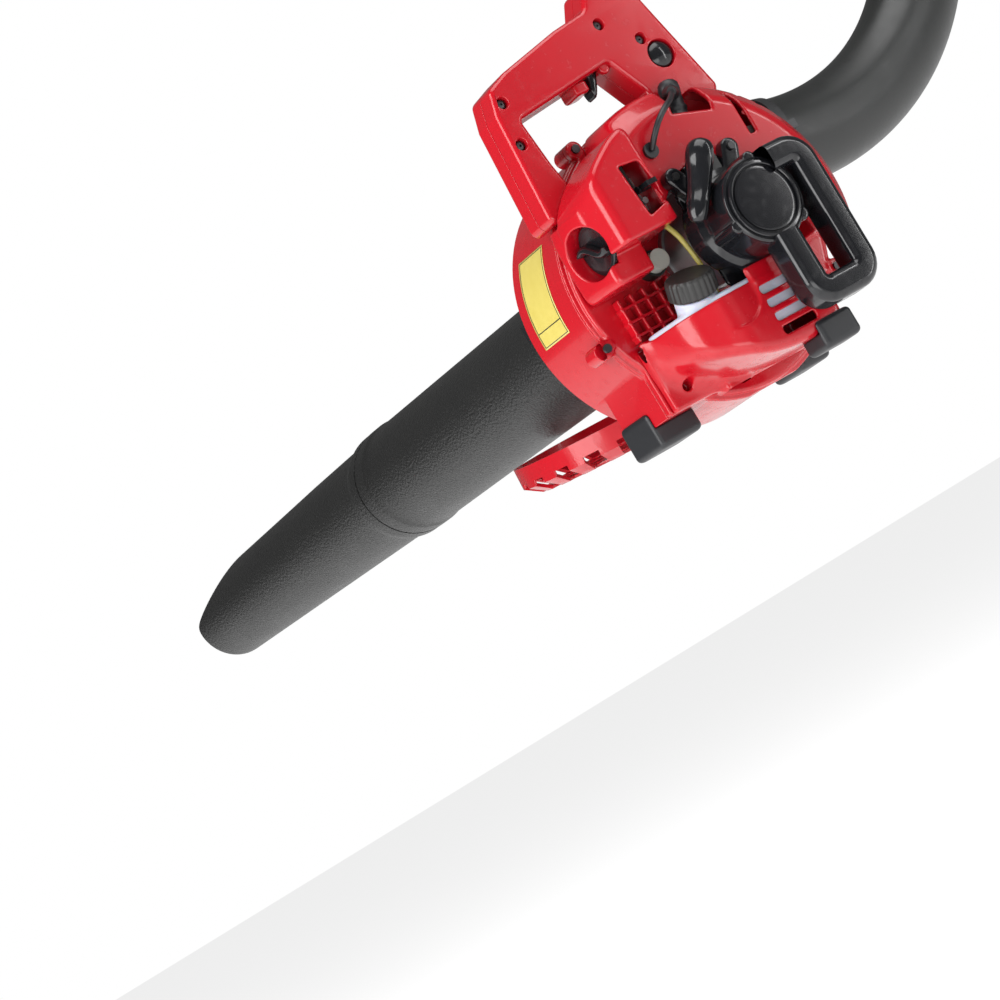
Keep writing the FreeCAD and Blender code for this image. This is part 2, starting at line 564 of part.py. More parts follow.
def loop_handle():
    """Closed loop beside the starter: two legs joined top and bottom, tied to the starter and guard."""
    near, far = LOOP_Y
    outer = prism_y([(-12, -97), (-12, 20), (10, 36), (62, 36), (62, -97)], near, far, 10)
    gap = prism_y([(8, -79), (8, -34), (34, 20), (44, 20), (44, -79)], near - 1, far + 1, 4.5)
    clear = rod_y(0, 0, NOSE_R, near - 1, far + 1)
    ties = [box(46, 60, far - 1, COWL_Y, 22, 34), box(-10, 6, far - 1, -146 - WALL - GAP, -95, -85)]
    return fuse([outer.cut(gap).cut(clear)] + ties)


# ---- write every piece ---------------------------------------------------------------------------
def label():
    """Thin warning sticker wrapped round the rear of the drum."""
    band = ring_y(0, 0, DRUM_R + 0.35, DRUM_R, -36, 8)
    far = 200
    wedge = [(0, 0)] + [round_drum(far, a) for a in (147, 165, 183)]
    return band.common(prism_y(wedge, -40, 20))


def foot(x0, x1, y0, y1, top, solid):
    """Rubber foot that wraps round a corner of what it is pushed onto."""
    return box(x0, x1, y0, y1, -AXIS_HEIGHT, top).cut(solid).cut(rod_y(0, 0, DRUM_R, -70, FAR_Y))


def write_drum():
    """Fan drum, its fan, label, feet and screws."""
    stand_block = box(STAND[0][0], STAND[2][0], PLATE_Y, 0, STAND[1][1], -40)
    save("volute_intake_half", volute_intake_half())
    save("volute_engine_half", volute_engine_half())
    screws = [rod_y(*round_drum(FLANGE_R + BOSS_OUT, a), 3.6, PLATE_Y - 2.5, PLATE_Y) for a in BOSS_ANGLES]
    save("drum_screws", Part.makeCompound(screws))
    save("impeller", impeller())
    save("impeller_nut", ring_y(0, 0, 10, SHAFT_R, -30, -22))
    save("warning_label", label())
    save("foot_rear", foot(-106, -62, -44, 3, -92, stand_block))
    save("foot_front", foot(50, 83, -44, 3, -92, stand_block))
    guard_block = box(-200, 34 + WALL + GAP, -146 - WALL - GAP, -60, -110, 0)
    save("foot_near", foot(2, 40, -153, -122, -100, guard_block))
    clip = box(-118, -106, FAR_Y, FAR_Y + 8, 6, 22)
    save("tube_clip", clip)


def write_tubes():
    """Suction tubes, outlet bend and the intake lid."""
    save("upper_suction_tube", upper_tube())
    save("lower_suction_tube", lower_tube())
    save("outlet_elbow", elbow())
    save("bag_collar", bag_collar())
    save("elbow_clamp", elbow_clamp())
    save("grille_lid", lid())
    save("lid_hinge_pin", rod_x(LID_HINGE.y, LID_HINGE.z, 2.5, -49, 49))


def write_handle():
    """Top handle with its trigger and stop button."""
    save("handle_near_half", handle_half(HANDLE_Y[0], HANDLE_Y[1]))
    save("handle_far_half", handle_half(HANDLE_Y[1], HANDLE_Y[2]))
    save("trigger", trigger())
    x, z = TRIGGER_PIN
    save("trigger_pin", rod_y(x, z, 2.5, HANDLE_Y[0] + 5, HANDLE_Y[2] - 5))
    bx, bz = BUTTON_AT
    save("stop_button", rod_y(bx, bz, BUTTON_R, HANDLE_Y[0] + 1, -78))
    screws = [rod_y(x, z, 4.2, SCREW_SEAT - 2.5, SCREW_SEAT) for x, z in GRIP_SCREWS]
    save("handle_screws", Part.makeCompound(screws))


def write_engine():
    """Crankcase, cylinder, ignition, muffler and cowl."""
    save("crankshaft", crankshaft())
    save("crank_bearings", Part.makeCompound(
        [ring_y(0, 0, 13, SHAFT_R + 0.05, -123.5, -116.2), ring_y(0, 0, 13, SHAFT_R + 0.05, -84.8, -77.5)]))
    save("crankcase", crankcase())
    save("cylinder", cylinder())
    save("piston", leaned(rod_z(0, CYL_Y, 17.0, 46, 70).cut(rod_z(0, CYL_Y, 14, 45, 66))))
    save("wrist_pin", leaned(rod_y(0, 52, 4, CYL_Y - 13.5, CYL_Y + 13.5)))
    save("spark_plug", spark_plug())
    save("plug_boot", plug_boot())
    save("ignition_lead", cord(LEAD, 2.5))
    x, z = GROMMET_XZ
    save("lead_grommet", fuse([rod_y(x, z, 6.5, COWL_Y - 3, COWL_Y), rod_y(x, z, 4, COWL_Y, -125)]))
    save("flywheel", flywheel())
    save("ignition_coil", box(-14, 12.8, -140, -129, 42, 56).cut(rod_y(0, 0, 43, -150, -120)))
    save("engine_cowl", engine_cowl())
    save("muffler", muffler())


def write_air_and_fuel():
    """Carburettor, filter, primer and tank."""
    save("carburettor", carburettor())
    save("carb_insulator", box(-39.9, -29.1, CYL_Y - 14, CYL_Y + 13, 45, 67).cut(
        rod_x(CYL_Y, 56, 7, -50, -20)))
    save("filter_body", box(-73, -64.2, -132, -94, 26, 80).cut(rod_x(CYL_Y, 56, 7.5, -80, -60)).cut(
        rod_x(*KNOB_YZ, 4.1, -80, -60)))
    save("filter_element", box(-94, -73.2, -122, -94, 26, 72).cut(rod_x(*KNOB_YZ, 6, -100, -70)))
    save("filter_cover", filter_cover())
    save("filter_knob", filter_knob())
    y, z = CHOKE_YZ
    save("choke_lever", fuse([rod_x(y, z, 3, -66, -52), box(-65, -55, y - 15, y, z - 2, z + 2)]))
    x, y = THROTTLE_XY
    save("throttle_lever", fuse([rod_z(x, y, 3, 75.3, 84), box(x - 4, x + 4, y, y + 9, 79, 81.5)]))
    save("fuel_line", cord(FUEL_LINE, 2.2))
    save("primer_bulb", rod_y(*PRIMER_XZ, 8.6, -94, -82))
    save("primer_base", rod_y(*PRIMER_XZ, 11, -84, PLATE_Y).cut(rod_y(*PRIMER_XZ, 9, -85, -77)))
    save("fuel_tank", fuel_tank())
    save("fuel_cap", fuel_cap())
    save("tank_guard", tank_guard())


def write_starter():
    """Recoil starter and the loop handle."""
    save("starter_housing", starter_housing())
    save("starter_cap", rod_y(0, 0, 29, STARTER_Y - 1, STARTER_Y + 1.5))
    groove = ring_y(0, 0, 31, 24, -158, -151)
    save("starter_pulley", ring_y(0, 0, 30, 7.6, -161, -148.5).cut(groove))
    save("starter_cord", ring_y(0, 0, 27, 24, -157.8, -151.2))
    save("recoil_spring", ring_y(0, 0, 27, 9, -178, -163))
    save("rope_guide", rope_guide())
    screws = [rod_y(*round_drum(61, -a), 3.2, -144, -142) for a in STARTER_ARMS]
    save("starter_screws", Part.makeCompound(screws))
    save("starter_grip", starter_grip())
    save("loop_handle", loop_handle())


write_drum()
write_tubes()
write_handle()
write_engine()
write_air_and_fuel()
write_starter()
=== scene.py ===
"""Handheld petrol blower-vac in its vacuum set-up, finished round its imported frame.

Sizes inside the sections are millimetres from the crankshaft axis: +X is the outlet side, -Y the
starter side and +Z up. place() turns them into metres in the frame.
"""
import json
import math
import bmesh
import bpy
import numpy as np
from mathutils import Matrix, Vector
from mathutils.geometry import tessellate_polygon


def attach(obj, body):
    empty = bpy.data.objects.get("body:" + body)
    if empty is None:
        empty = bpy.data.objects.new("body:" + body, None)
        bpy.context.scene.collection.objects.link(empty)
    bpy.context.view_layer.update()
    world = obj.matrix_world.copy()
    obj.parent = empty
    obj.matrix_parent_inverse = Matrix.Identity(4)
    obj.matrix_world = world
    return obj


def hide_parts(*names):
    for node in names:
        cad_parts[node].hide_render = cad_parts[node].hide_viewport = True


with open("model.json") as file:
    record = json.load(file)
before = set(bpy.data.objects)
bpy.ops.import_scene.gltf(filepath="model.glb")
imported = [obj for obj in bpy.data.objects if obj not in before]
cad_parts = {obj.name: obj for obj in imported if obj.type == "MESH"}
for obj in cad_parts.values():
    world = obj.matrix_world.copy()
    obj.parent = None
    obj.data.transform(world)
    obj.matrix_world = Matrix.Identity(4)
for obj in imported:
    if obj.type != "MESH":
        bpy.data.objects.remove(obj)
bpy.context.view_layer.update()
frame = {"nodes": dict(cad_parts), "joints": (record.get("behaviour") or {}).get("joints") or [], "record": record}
AXIS = np.array(next(j["pos_m"] for j in frame["joints"] if j["name"] == "crank_spin"))
BODY_OF = {node: body for body, members in frame["record"]["behaviour"]["bodies"].items()
           for node in members}
SLOT_OF = {part["node"]: part["material_slot"] for part in frame["record"]["subparts"]}


# ---- camera, light and floor ---------------------------------------------------------------------
# A pale floor well below the machine, which is seen from a little under its feet, as if it were
# held up. A wide soft box on the rear side, one overhead and a narrow strip light the plastic.
def place(points):
    """Millimetres from the crankshaft axis to metres in the frame: the axis plus a thousandth."""
    return AXIS + np.asarray(points, float) / 1000


RIGHT, UP = (0.75791, -0.40673, -0.51005), (0.42138, -0.29164, 0.85871)
BACK = (-0.49802, -0.86575, -0.04964)
camera = bpy.data.objects.new("camera", bpy.data.cameras.new("camera"))
camera.data.lens = 107.86
camera.data.sensor_width = 36.0
camera.matrix_world = Matrix.Translation(place((-1398.7, -2025.7, -209.7))) @ Matrix(
    (RIGHT, UP, BACK)).transposed().to_4x4()
bpy.context.scene.collection.objects.link(camera)
bpy.context.scene.camera = camera


def soft_box(name, at, towards, width, height, power):
    """A rectangular lamp at a point, turned so that it faces another point."""
    lamp = bpy.data.lights.new(name, "AREA")
    lamp.shape = "RECTANGLE"
    lamp.size, lamp.size_y, lamp.energy = width, height, power
    held = bpy.data.objects.new(name, lamp)
    away = Vector(place(at) - place(towards))
    held.matrix_world = Matrix.Translation(place(at)) @ away.to_track_quat("Z", "Y").to_matrix().to_4x4()
    bpy.context.scene.collection.objects.link(held)


soft_box("rear_box", (-1500, -300, 500), (0, -60, 0), 1.1, 1.6, 32)
soft_box("over_box", (300, -700, 1500), (0, -60, 0), 1.4, 1.4, 20)
soft_box("front_strip", (1300, -1500, 350), (60, -120, 0), 0.12, 1.6, 7)
soft_box("low_fill", (-500, -1700, -420), (0, 0, 0), 1.4, 0.7, 8)
world = bpy.data.worlds.new("studio")
world.use_nodes = True
sky = world.node_tree.nodes["Background"].inputs
sky["Color"].default_value = (1.0, 1.0, 1.0, 1.0)
seen = world.node_tree.nodes.new("ShaderNodeLightPath").outputs["Is Camera Ray"]
level = world.node_tree.nodes.new("ShaderNodeMapRange")
level.inputs["To Min"].default_value = 0.17
level.inputs["To Max"].default_value = 1.0
world.node_tree.links.new(seen, level.inputs["Value"])
world.node_tree.links.new(level.outputs["Result"], sky["Strength"])
bpy.context.scene.world = world
bpy.context.scene.view_settings.view_transform = "Standard"

floor = bpy.data.objects.new("floor", bpy.data.meshes.new("floor"))
HALF, DROP = 9.0, -0.42
floor.data.from_pydata([(-HALF, -HALF, DROP), (HALF, -HALF, DROP), (HALF, HALF, DROP), (-HALF, HALF, DROP)],
                       [], [(0, 1, 2, 3)])
bpy.context.scene.collection.objects.link(floor)
paper = bpy.data.materials.new("paper")
paper.use_nodes = True
paper.node_tree.nodes["Principled BSDF"].inputs["Base Color"].default_value = (0.9, 0.9, 0.9, 1)
paper.node_tree.nodes["Principled BSDF"].inputs["Roughness"].default_value = 0.9
paper.node_tree.nodes["Principled BSDF"].inputs["Emission Color"].default_value = (1, 1, 1, 1)
paper.node_tree.nodes["Principled BSDF"].inputs["Emission Strength"].default_value = 0.70
floor.data.materials.append(paper)


# ---- fan drum ------------------------------------------------------------------------------------
# Two halves of glossy red moulded plastic, screwed together at the flange. The surface is smooth
# with a faint orange peel from the mould, fine dust, and a clear gloss that catches the soft boxes.
class Wire:
    """One output of a node. Each arithmetic operator adds a Math node."""

    def __init__(self, finish, socket):
        self.finish, self.socket = finish, socket

    def maths(self, operation, first, second):
        """A Math node: the operation's result for its two inputs."""
        return self.finish.node("ShaderNodeMath", {"operation": operation}, {0: first, 1: second})

    def __add__(self, other):
        return self.maths("ADD", self, other)

    def __mul__(self, other):
        return self.maths("MULTIPLY", self, other)

    def __sub__(self, other):
        return self.maths("SUBTRACT", self, other)

    def __rsub__(self, other):
        return self.maths("SUBTRACT", other, self)

    def __gt__(self, other):
        return self.maths("GREATER_THAN", self, other)

    __radd__ = __add__
    __rmul__ = __mul__


class Finish:
    """A material: its Principled shader's constants, and a method that adds any other node."""

    def __init__(self, name, constants):
        self.material = bpy.data.materials.new(name)
        self.material.use_nodes = True
        self.tree = self.material.node_tree
        self.shader = self.tree.nodes["Principled BSDF"]
        for socket, value in constants.items():
            self.shader.inputs[socket].default_value = value
        self.here = self.node("ShaderNodeTexCoord", output="Object")

    def node(self, kind, settings=(), values=(), output=0):
        """Adds a node with its settings, its inputs set or wired, and gives one of its outputs."""
        added = self.tree.nodes.new(kind)
        for name, value in dict(settings).items():
            setattr(added, name, value)
        for socket, value in dict(values).items():
            if isinstance(value, Wire):
                self.tree.links.new(value.socket, added.inputs[socket])
            else:
                added.inputs[socket].default_value = value
        return Wire(self, added.outputs[output])

    def noise(self, size_mm, detail=3.0, stretch=(1, 1, 1)):
        """Noise whose lumps are about this large, drawn out along an axis by its stretch."""
        where = self.node("ShaderNodeMapping", {}, {"Vector": self.here, "Scale": stretch})
        return self.node("ShaderNodeTexNoise", {},
                         {"Vector": where, "Scale": 1000 / size_mm, "Detail": detail})

    def cells(self, size_mm, feature="F1"):
        """Distance to the nearest of scattered points that lie about this far apart."""
        return self.node("ShaderNodeTexVoronoi", {"feature": feature},
                         {"Vector": self.here, "Scale": 1000 / size_mm})

    def blend(self, factor, low, high):
        """From one colour to another as the factor goes from 0 to 1."""
        return self.node("ShaderNodeMix", {"data_type": "RGBA"}, {0: factor, 6: low, 7: high}, 2)

    def span(self, wire, low, high, start=0.0, end=1.0):
        """Maps start..end to low..high, held at both ends."""
        return self.node("ShaderNodeMapRange", {}, {0: wire, 1: start, 2: end, 3: low, 4: high})

    def feed(self, **wires):
        """Wires values to the shader's sockets, whose spaces are written as underscores."""
        for socket, wire in wires.items():
            self.tree.links.new(wire.socket, self.shader.inputs[socket.replace("_", " ")])

    def bump(self, height, depth_mm):
        """Tilts the shader's normal as if the surface rose by height times depth."""
        self.feed(Normal=self.node("ShaderNodeBump", {}, {"Height": height, "Distance": depth_mm / 1000}))


def gloss_plastic(name, color, deep, rough, peel=0.012, coat=0.34):
    """Moulded plastic: slow colour drift, dust that dulls the gloss, hair scratches, orange peel."""
    made = Finish(name, {"IOR": 1.48, "Coat Roughness": 0.06, "Specular IOR Level": 0.4})
    drift = made.noise(45, 2.0)
    dust = made.span(made.noise(7, 8.0), 0, 1, 0.52, 0.72)
    hairs = made.span(made.noise(1.4, 2.0, (1, 0.05, 1)), 0, 1, 0.66, 0.74)
    made.feed(Base_Color=made.blend(drift * 0.6 + dust * 0.25, (*color, 1), (*deep, 1)),
              Roughness=rough + dust * 0.08 + hairs * 0.05,
              Coat_Weight=coat - dust * 0.25)
    made.bump(made.noise(2.6, 2.0) + hairs * 0.08, peel)
    return made.material


red_plastic = gloss_plastic("red_plastic", (0.46, 0.004, 0.012), (0.37, 0.003, 0.009), 0.22)
black_gloss = gloss_plastic("black_gloss", (0.006, 0.0065, 0.008), (0.010, 0.010, 0.012), 0.16)


MERGE_M = 4e-6


def piece(name, points, faces, finish, body, slot, replaced=(), sharp=32):
    """A mesh from points and faces: doubles merged, faces turned outwards, smooth up to an angle."""
    mesh = bpy.data.meshes.new(name)
    spots = place(np.asarray(points, float).reshape(-1, 3))
    mesh.from_pydata(spots.tolist(), [], [tuple(int(i) for i in face) for face in faces])
    shape = bmesh.new()
    shape.from_mesh(mesh)
    bmesh.ops.remove_doubles(shape, verts=shape.verts, dist=MERGE_M)
    bmesh.ops.recalc_face_normals(shape, faces=shape.faces)
    shape.to_mesh(mesh)
    shape.free()
    return settle(name, mesh, finish, body, replaced, sharp)


def settle(name, mesh, finish, body, replaced, sharp):
    """Puts a mesh in the scene with its material, its body and the nodes it replaces."""
    mesh.polygons.foreach_set("use_smooth", np.ones(len(mesh.polygons), bool))
    mesh.set_sharp_from_angle(angle=math.radians(sharp))
    mesh.materials.append(finish)
    made = bpy.data.objects.new(name, mesh)
    bpy.context.scene.collection.objects.link(made)
    made.modifiers.new("even_normals", "WEIGHTED_NORMAL").keep_sharp = True
    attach(made, body)
    if replaced:
        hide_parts(*replaced)
    return made


EASED_FROM, FLAT_WITHIN = math.radians(38), math.radians(0.6)


def eased(node, finish, radius_mm):
    """The CAD node's shape, merged. With a radius, its flats are joined and its corners bevelled."""
    shape = bmesh.new()
    shape.from_mesh(frame["nodes"][node].data)
    bmesh.ops.remove_doubles(shape, verts=shape.verts, dist=MERGE_M)
    if radius_mm:
        bmesh.ops.dissolve_limit(shape, angle_limit=FLAT_WITHIN, verts=shape.verts, edges=shape.edges)
        edges = [edge for edge in shape.edges if len(edge.link_faces) == 2
                 and edge.calc_face_angle() > EASED_FROM]
        bmesh.ops.bevel(shape, geom=edges, offset=radius_mm / 1000, offset_type="OFFSET", segments=2,
                        profile=0.5, affect="EDGES", clamp_overlap=False)
    mesh = bpy.data.meshes.new(node + "_shape")
    shape.to_mesh(mesh)
    shape.free()
    return settle(node + "_finished", mesh, finish, BODY_OF[node], [node], 40)


eased("volute_intake_half", red_plastic, 0.9)


# ---- suction tubes -------------------------------------------------------------------------------
# Blow-moulded charcoal polyethylene with a pebble grain. The lower tube plugs into the upper one
# and is held by a short bayonet twist; its mouth is cut back so that it can't seal on the ground.
def grained(name, color, deep, grain_mm, depth_mm, rough):
    """Pebble grain: rounded cells of two sizes in the bump. The base colour goes from the first colour on the
    cells' tops to the second in the hollows between them, mixed with a slow drift, and the roughness rises towards
    the hollows. Where the second colour is the darker, this is painted highlight on the tops and painted shade in
    the hollows.
    """
    made = Finish(name, {"IOR": 1.5, "Specular IOR Level": 0.55})
    pebble = made.cells(grain_mm, "SMOOTH_F1")
    small = made.cells(grain_mm * 0.45)
    drift = made.noise(60, 3.0)
    rub = made.span(made.noise(16, 6.0, (1, 0.3, 1)), 0, 1, 0.5, 0.75)
    # The pebble's depth sets the colour: painted highlight on the grain's tops and painted shade in its hollows,
    # where the second colour given is the darker.
    made.feed(Base_Color=made.blend(drift * 0.5 + pebble * 0.5, (*color, 1), (*deep, 1)),
              Roughness=rough + pebble * 0.12 - rub * 0.06)
    made.bump(1 - pebble + (1 - small) * 0.35, depth_mm)
    return made.material


# The grain's hollows take the darker colour: painted shade in them and painted highlight on the pebble tops.
tube_plastic = grained("tube_plastic", (0.013, 0.013, 0.0125), (0.005, 0.005, 0.005), 2.3, 0.8, 0.33)


def grid_faces(rows, columns, closed_rows=False, closed_columns=True):
    """Four-sided faces between neighbouring points of a grid that is stored row by row."""
    r = np.arange(rows if closed_rows else rows - 1)[:, None]
    c = np.arange(columns if closed_columns else columns - 1)[None, :]
    r2, c2 = (r + 1) % rows, (c + 1) % columns
    corners = np.stack(np.broadcast_arrays(r * columns + c, r * columns + c2, r2 * columns + c2,
                                           r2 * columns + c), -1)
    return corners.reshape(-1, 4)


def turned(profile, foot=(0, 0, 0), way=(0, 1, 0), around=96):
    """A profile of (along, radius) turned about a line: foot + way * along + radius * a unit circle."""
    way = np.array(way, float) / np.linalg.norm(way)
    side = np.cross(way, (0, 0, 1.0) if abs(way[2]) < 0.9 else (1.0, 0, 0))
    side /= np.linalg.norm(side)
    other = np.cross(way, side)
    angle = np.linspace(0, 2 * np.pi, around, endpoint=False)
    rim = np.cos(angle)[:, None] * side + np.sin(angle)[:, None] * other
    profile = np.array(profile, float)
    return (np.array(foot, float) + profile[:, :1, None] * way[None, None] +
            profile[:, 1:, None] * rim[None]).reshape(-1, 3)


def dense(points, step):
    """Extra points along the runs of a line, so that none is longer than the step."""
    points = np.array(points, float)
    counts = np.maximum(np.ceil(np.linalg.norm(np.diff(points, axis=0), axis=1) / step), 1).astype(int)
    runs = [a + (b - a) * np.linspace(0, 1, n, endpoint=False)[:, None]
            for a, b, n in zip(points[:-1], points[1:], counts)]
    return np.concatenate(runs + [points[-1:]])


upper_wall = dense([(22.4, 52.4), (22.4, 55), (510, 55), (514, 55.4), (518, 56.4), (536, 56.4),
                    (540, 55.6), (540, 52.4), (22.4, 52.4)], 20)
piece("upper_tube", turned(upper_wall, around=128), grid_faces(len(upper_wall), 128), tube_plastic,
      "upper_tube", "grained_plastic", ["upper_suction_tube"])

lower_wall = dense([(500.4, 49.6), (500.4, 52), (540.4, 52), (540.4, 56.2), (554, 56.2), (560, 55),
                    (568, 52.6), (1056, 46.2), (1058, 45.2), (1057, 43.6), (540, 49.6), (500.4, 49.6)], 8)
AROUND, MOUTH_Y, CUT_FROM, MOUTH_SOFT = 160, 1058, 700, 9
lower = turned(lower_wall, around=AROUND)
reach = np.repeat(lower_wall[:, 0], AROUND)
slant = 1063 - (lower[:, 2] - 6) * 142 / 44
mouth = -MOUTH_SOFT * np.logaddexp(-MOUTH_Y / MOUTH_SOFT, -slant / MOUTH_SOFT)
cut_back = CUT_FROM + (reach - CUT_FROM) * (mouth - CUT_FROM) / (MOUTH_Y - CUT_FROM)
lower[:, 1] = np.where(reach > CUT_FROM, cut_back, reach)
piece("lower_tube", lower, grid_faces(len(lower_wall), AROUND), tube_plastic, "lower_tube",
      "grained_plastic", ["lower_suction_tube"])


# ---- outlet bend ---------------------------------------------------------------------------------
# A smoother satin tube bent through a quarter turn. A steel band clamps it over the drum's spigot,
# and a grooved collar on its end takes the strap of the collecting bag.
# The grain's hollows take the darker colour: painted shade in them and painted highlight on the grain's tops.
satin_plastic = grained("satin_plastic", (0.013, 0.014, 0.0135), (0.008, 0.009, 0.0085), 1.1, 0.05, 0.32)
SLOPE, BEND_R, TURN, TAIL = math.radians(-12), 252.0, math.radians(90), 44.0
ELBOW_R, ELBOW_WALL = 39.3, 2.6
DUCT_END = np.array((150, -25, 55.2))


def bend_line():
    """Down the duct's slope, round an arc about a point above it, and straight on: points in XZ."""
    angle = np.linspace(SLOPE, SLOPE + TURN, 80)
    centre = DUCT_END + BEND_R * np.array((-math.sin(SLOPE), 0, math.cos(SLOPE)))
    arc = centre + BEND_R * np.stack((np.sin(angle), 0 * angle, -np.cos(angle)), 1)
    first = np.array((math.cos(SLOPE), 0, math.sin(SLOPE)))
    last = np.array((math.cos(angle[-1]), 0, math.sin(angle[-1])))
    return np.concatenate(([DUCT_END - first * 14], arc, [arc[-1] + last * TAIL / 2, arc[-1] + last * TAIL]))


def carried(line, ring, upright=(0, 1, 0)):
    """A flat ring of (side, up) points carried along a line, square to it: one row for each point."""
    line = np.array(line, float)
    run = np.gradient(line, axis=0)
    run /= np.linalg.norm(run, axis=1)[:, None]
    up = np.array(upright, float) - run * (run @ np.array(upright, float))[:, None]
    up /= np.linalg.norm(up, axis=1)[:, None]
    side = np.cross(run, up)
    ring = np.array(ring, float)
    rows = line[:, None] + side[:, None] * ring[None, :, :1] + up[:, None] * ring[None, :, 1:]
    return rows.reshape(-1, 3)


def circle(radius, count=96):
    """Points round a circle: the radius times the cosine and the sine."""
    angle = np.linspace(0, 2 * np.pi, count, endpoint=False)
    return radius * np.stack((np.cos(angle), np.sin(angle)), 1)


bend = bend_line()
walls = np.concatenate((carried(bend, circle(ELBOW_R)),
                        carried(bend[::-1], circle(ELBOW_R - ELBOW_WALL) * (-1, 1))))
piece("outlet_bend", walls, grid_faces(2 * len(bend), 96, closed_rows=True), satin_plastic, "machine",
      "satin_plastic", ["outlet_elbow"])
eased("bag_collar", satin_plastic, 1.0)


# ---- top handle ----------------------------------------------------------------------------------
# Two red halves screwed together round the throttle trigger. Each is a flat-sided shell whose outer
# edges are well rounded and whose meeting edges are only just broken, which leaves the parting line.
def rounded(corners, radius, steps=7):
    """Points and outward normals round a closed outline whose corners are arcs of this radius."""
    corners = np.array(corners, float)
    if np.sum(np.cross(corners, np.roll(corners, -1, 0))) < 0:
        corners = corners[::-1]
    back, on = np.roll(corners, 1, 0) - corners, np.roll(corners, -1, 0) - corners
    back /= np.linalg.norm(back, axis=1)[:, None]
    on /= np.linalg.norm(on, axis=1)[:, None]
    half = np.arccos(np.clip((back * on).sum(1), -1, 1)) / 2
    middle = (back + on) / np.linalg.norm(back + on, axis=1)[:, None]
    centre = corners + middle * (radius / np.sin(half))[:, None]
    first = corners + back * (radius / np.tan(half))[:, None] - centre
    sign = np.where(np.cross(-back, on) > 0, 1.0, -1.0)
    angle = (np.arctan2(first[:, 1], first[:, 0])[:, None] +
             (sign * (np.pi - 2 * half))[:, None] * np.linspace(0, 1, steps))
    ring = np.stack((np.cos(angle), np.sin(angle)), -1)
    return (centre[:, None] + radius * ring).reshape(-1, 2), (ring * sign[:, None, None]).reshape(-1, 2)


def hole(x, z, radius, count=28):
    """Points round a circle, and outward normals cut to 0.3 so that its edge is rounded less."""
    ring = circle(1.0, count)
    return np.array((x, z)) + ring * radius, ring * 0.3


def edge_levels(near, near_round, far, far_round):
    """Depth and inset down a slab's side: a quarter circle at each end."""
    turn = np.linspace(0, np.pi / 2, 6)
    return ([(near + near_round * (1 - math.cos(t)), near_round * (1 - math.sin(t))) for t in turn] +
            [(far - far_round * (1 - math.cos(t)), far_round * (1 - math.sin(t))) for t in turn[::-1]])


def slab(outer, holes, levels):
    """An outline with holes carried through levels of (y, inset), closed by flat ends."""
    points, faces, base, ends = [], [], 0, [[], []]
    for index, (ring, normal) in enumerate([outer] + holes):
        sign = -1 if index == 0 else 1
        rows = [np.insert(ring + sign * normal * inset, 1, y, axis=1) for y, inset in levels]
        faces += (grid_faces(len(levels), len(ring)) + base).tolist()
        for end, row in zip(ends, (0, len(levels) - 1)):
            end.append((rows[row], base + row * len(ring)))
        points += rows
        base += len(levels) * len(ring)
    for end in ends:
        numbers = np.concatenate([start + np.arange(len(ring)) for ring, start in end])
        flats = tessellate_polygon([[Vector(p) for p in ring] for ring, start in end])
        faces += [tuple(numbers[list(flat)]) for flat in flats]
    return np.concatenate(points), faces


HANDLE_OUT = [(-119, 66), (-112, 164), (-105, 186), (-84, 194), (-22, 207.5), (12, 212), (24, 232),
              (50, 236), (66, 208), (90, 112), (70, 80), (-60, 80)]
HANDLE_GAP = [(-93, 154), (7, 166), (25, 131), (22, 100), (-84, 84), (-89, 112)]
GRIP_SCREWS = [(-100, 172), (-104.5, 136), (18.3, 196.7), (47, 172)]
BUTTON_AT = (57, 154)
outline, gap = rounded(HANDLE_OUT, 7), rounded(HANDLE_GAP, 4.5)
near_holes = [gap, hole(*BUTTON_AT, 12.0, 64)] + [hole(x, z, 4.6) for x, z in GRIP_SCREWS]
for name, holes, levels in (("handle_near", near_holes, edge_levels(-90, 4, -71.25, 0.4)),
                            ("handle_far", [gap], edge_levels(-70.75, 0.4, -53, 4))):
    piece(name, *slab(outline, holes, levels), red_plastic, "machine", "red_plastic", [name + "_half"])


# The trigger is a curved black blade, and the stop button a domed black disc in the near half.
def meet(first, second, soft=0.0):
    """The larger of two distances, raised a little where they are within soft of each other."""
    near = np.maximum(soft - np.abs(first - second), 0) if soft else 0.0
    return np.maximum(first, second) + near * near / (4 * soft if soft else 1.0)


def join(first, second, soft=0.0):
    """Both shapes, with a fillet about as wide as soft where they meet."""
    return -meet(-first, -second, soft)


def take(first, second, soft=0.0):
    """The first shape without the second, with the cut's edge eased."""
    return meet(first, -second, soft)


def block(p, low, high, soft=0.0):
    """Distance to an upright box: its six faces' distances met in turn."""
    out = low[0] - p[..., 0]
    for side in (p[..., 0] - high[0], low[1] - p[..., 1], p[..., 1] - high[1], low[2] - p[..., 2],
                 p[..., 2] - high[2]):
        out = meet(out, side, soft)
    return out


def bar(p, foot, way, radius, near, far, soft=0.0):
    """Distance to a round bar: from its line less the radius, met with its two flat ends."""
    way = np.array(way, float) / np.linalg.norm(way)
    off = p - np.array(foot, float)
    along = off @ way
    out = np.sqrt(np.maximum((off * off).sum(-1) - along * along, 0)) - radius
    return meet(meet(out, near - along, soft), along - far, soft)


def convex(p, corners, axes, soft=0.0):
    """Distance to a prism without re-entrant corners: the lines through its sides, met in turn."""
    corners = np.array(corners, float)
    turn = np.sum(np.cross(corners, np.roll(corners, -1, 0)))
    out = -1e9 * np.ones(p.shape[:-1])
    for a, b in zip(corners, np.roll(corners, -1, 0)):
        normal = np.array((b[1] - a[1], a[0] - b[0])) / np.linalg.norm(b - a) * np.sign(turn)
        side = (p[..., axes[0]] - a[0]) * normal[0] + (p[..., axes[1]] - a[1]) * normal[1]
        out = meet(out, side, soft)
    return out


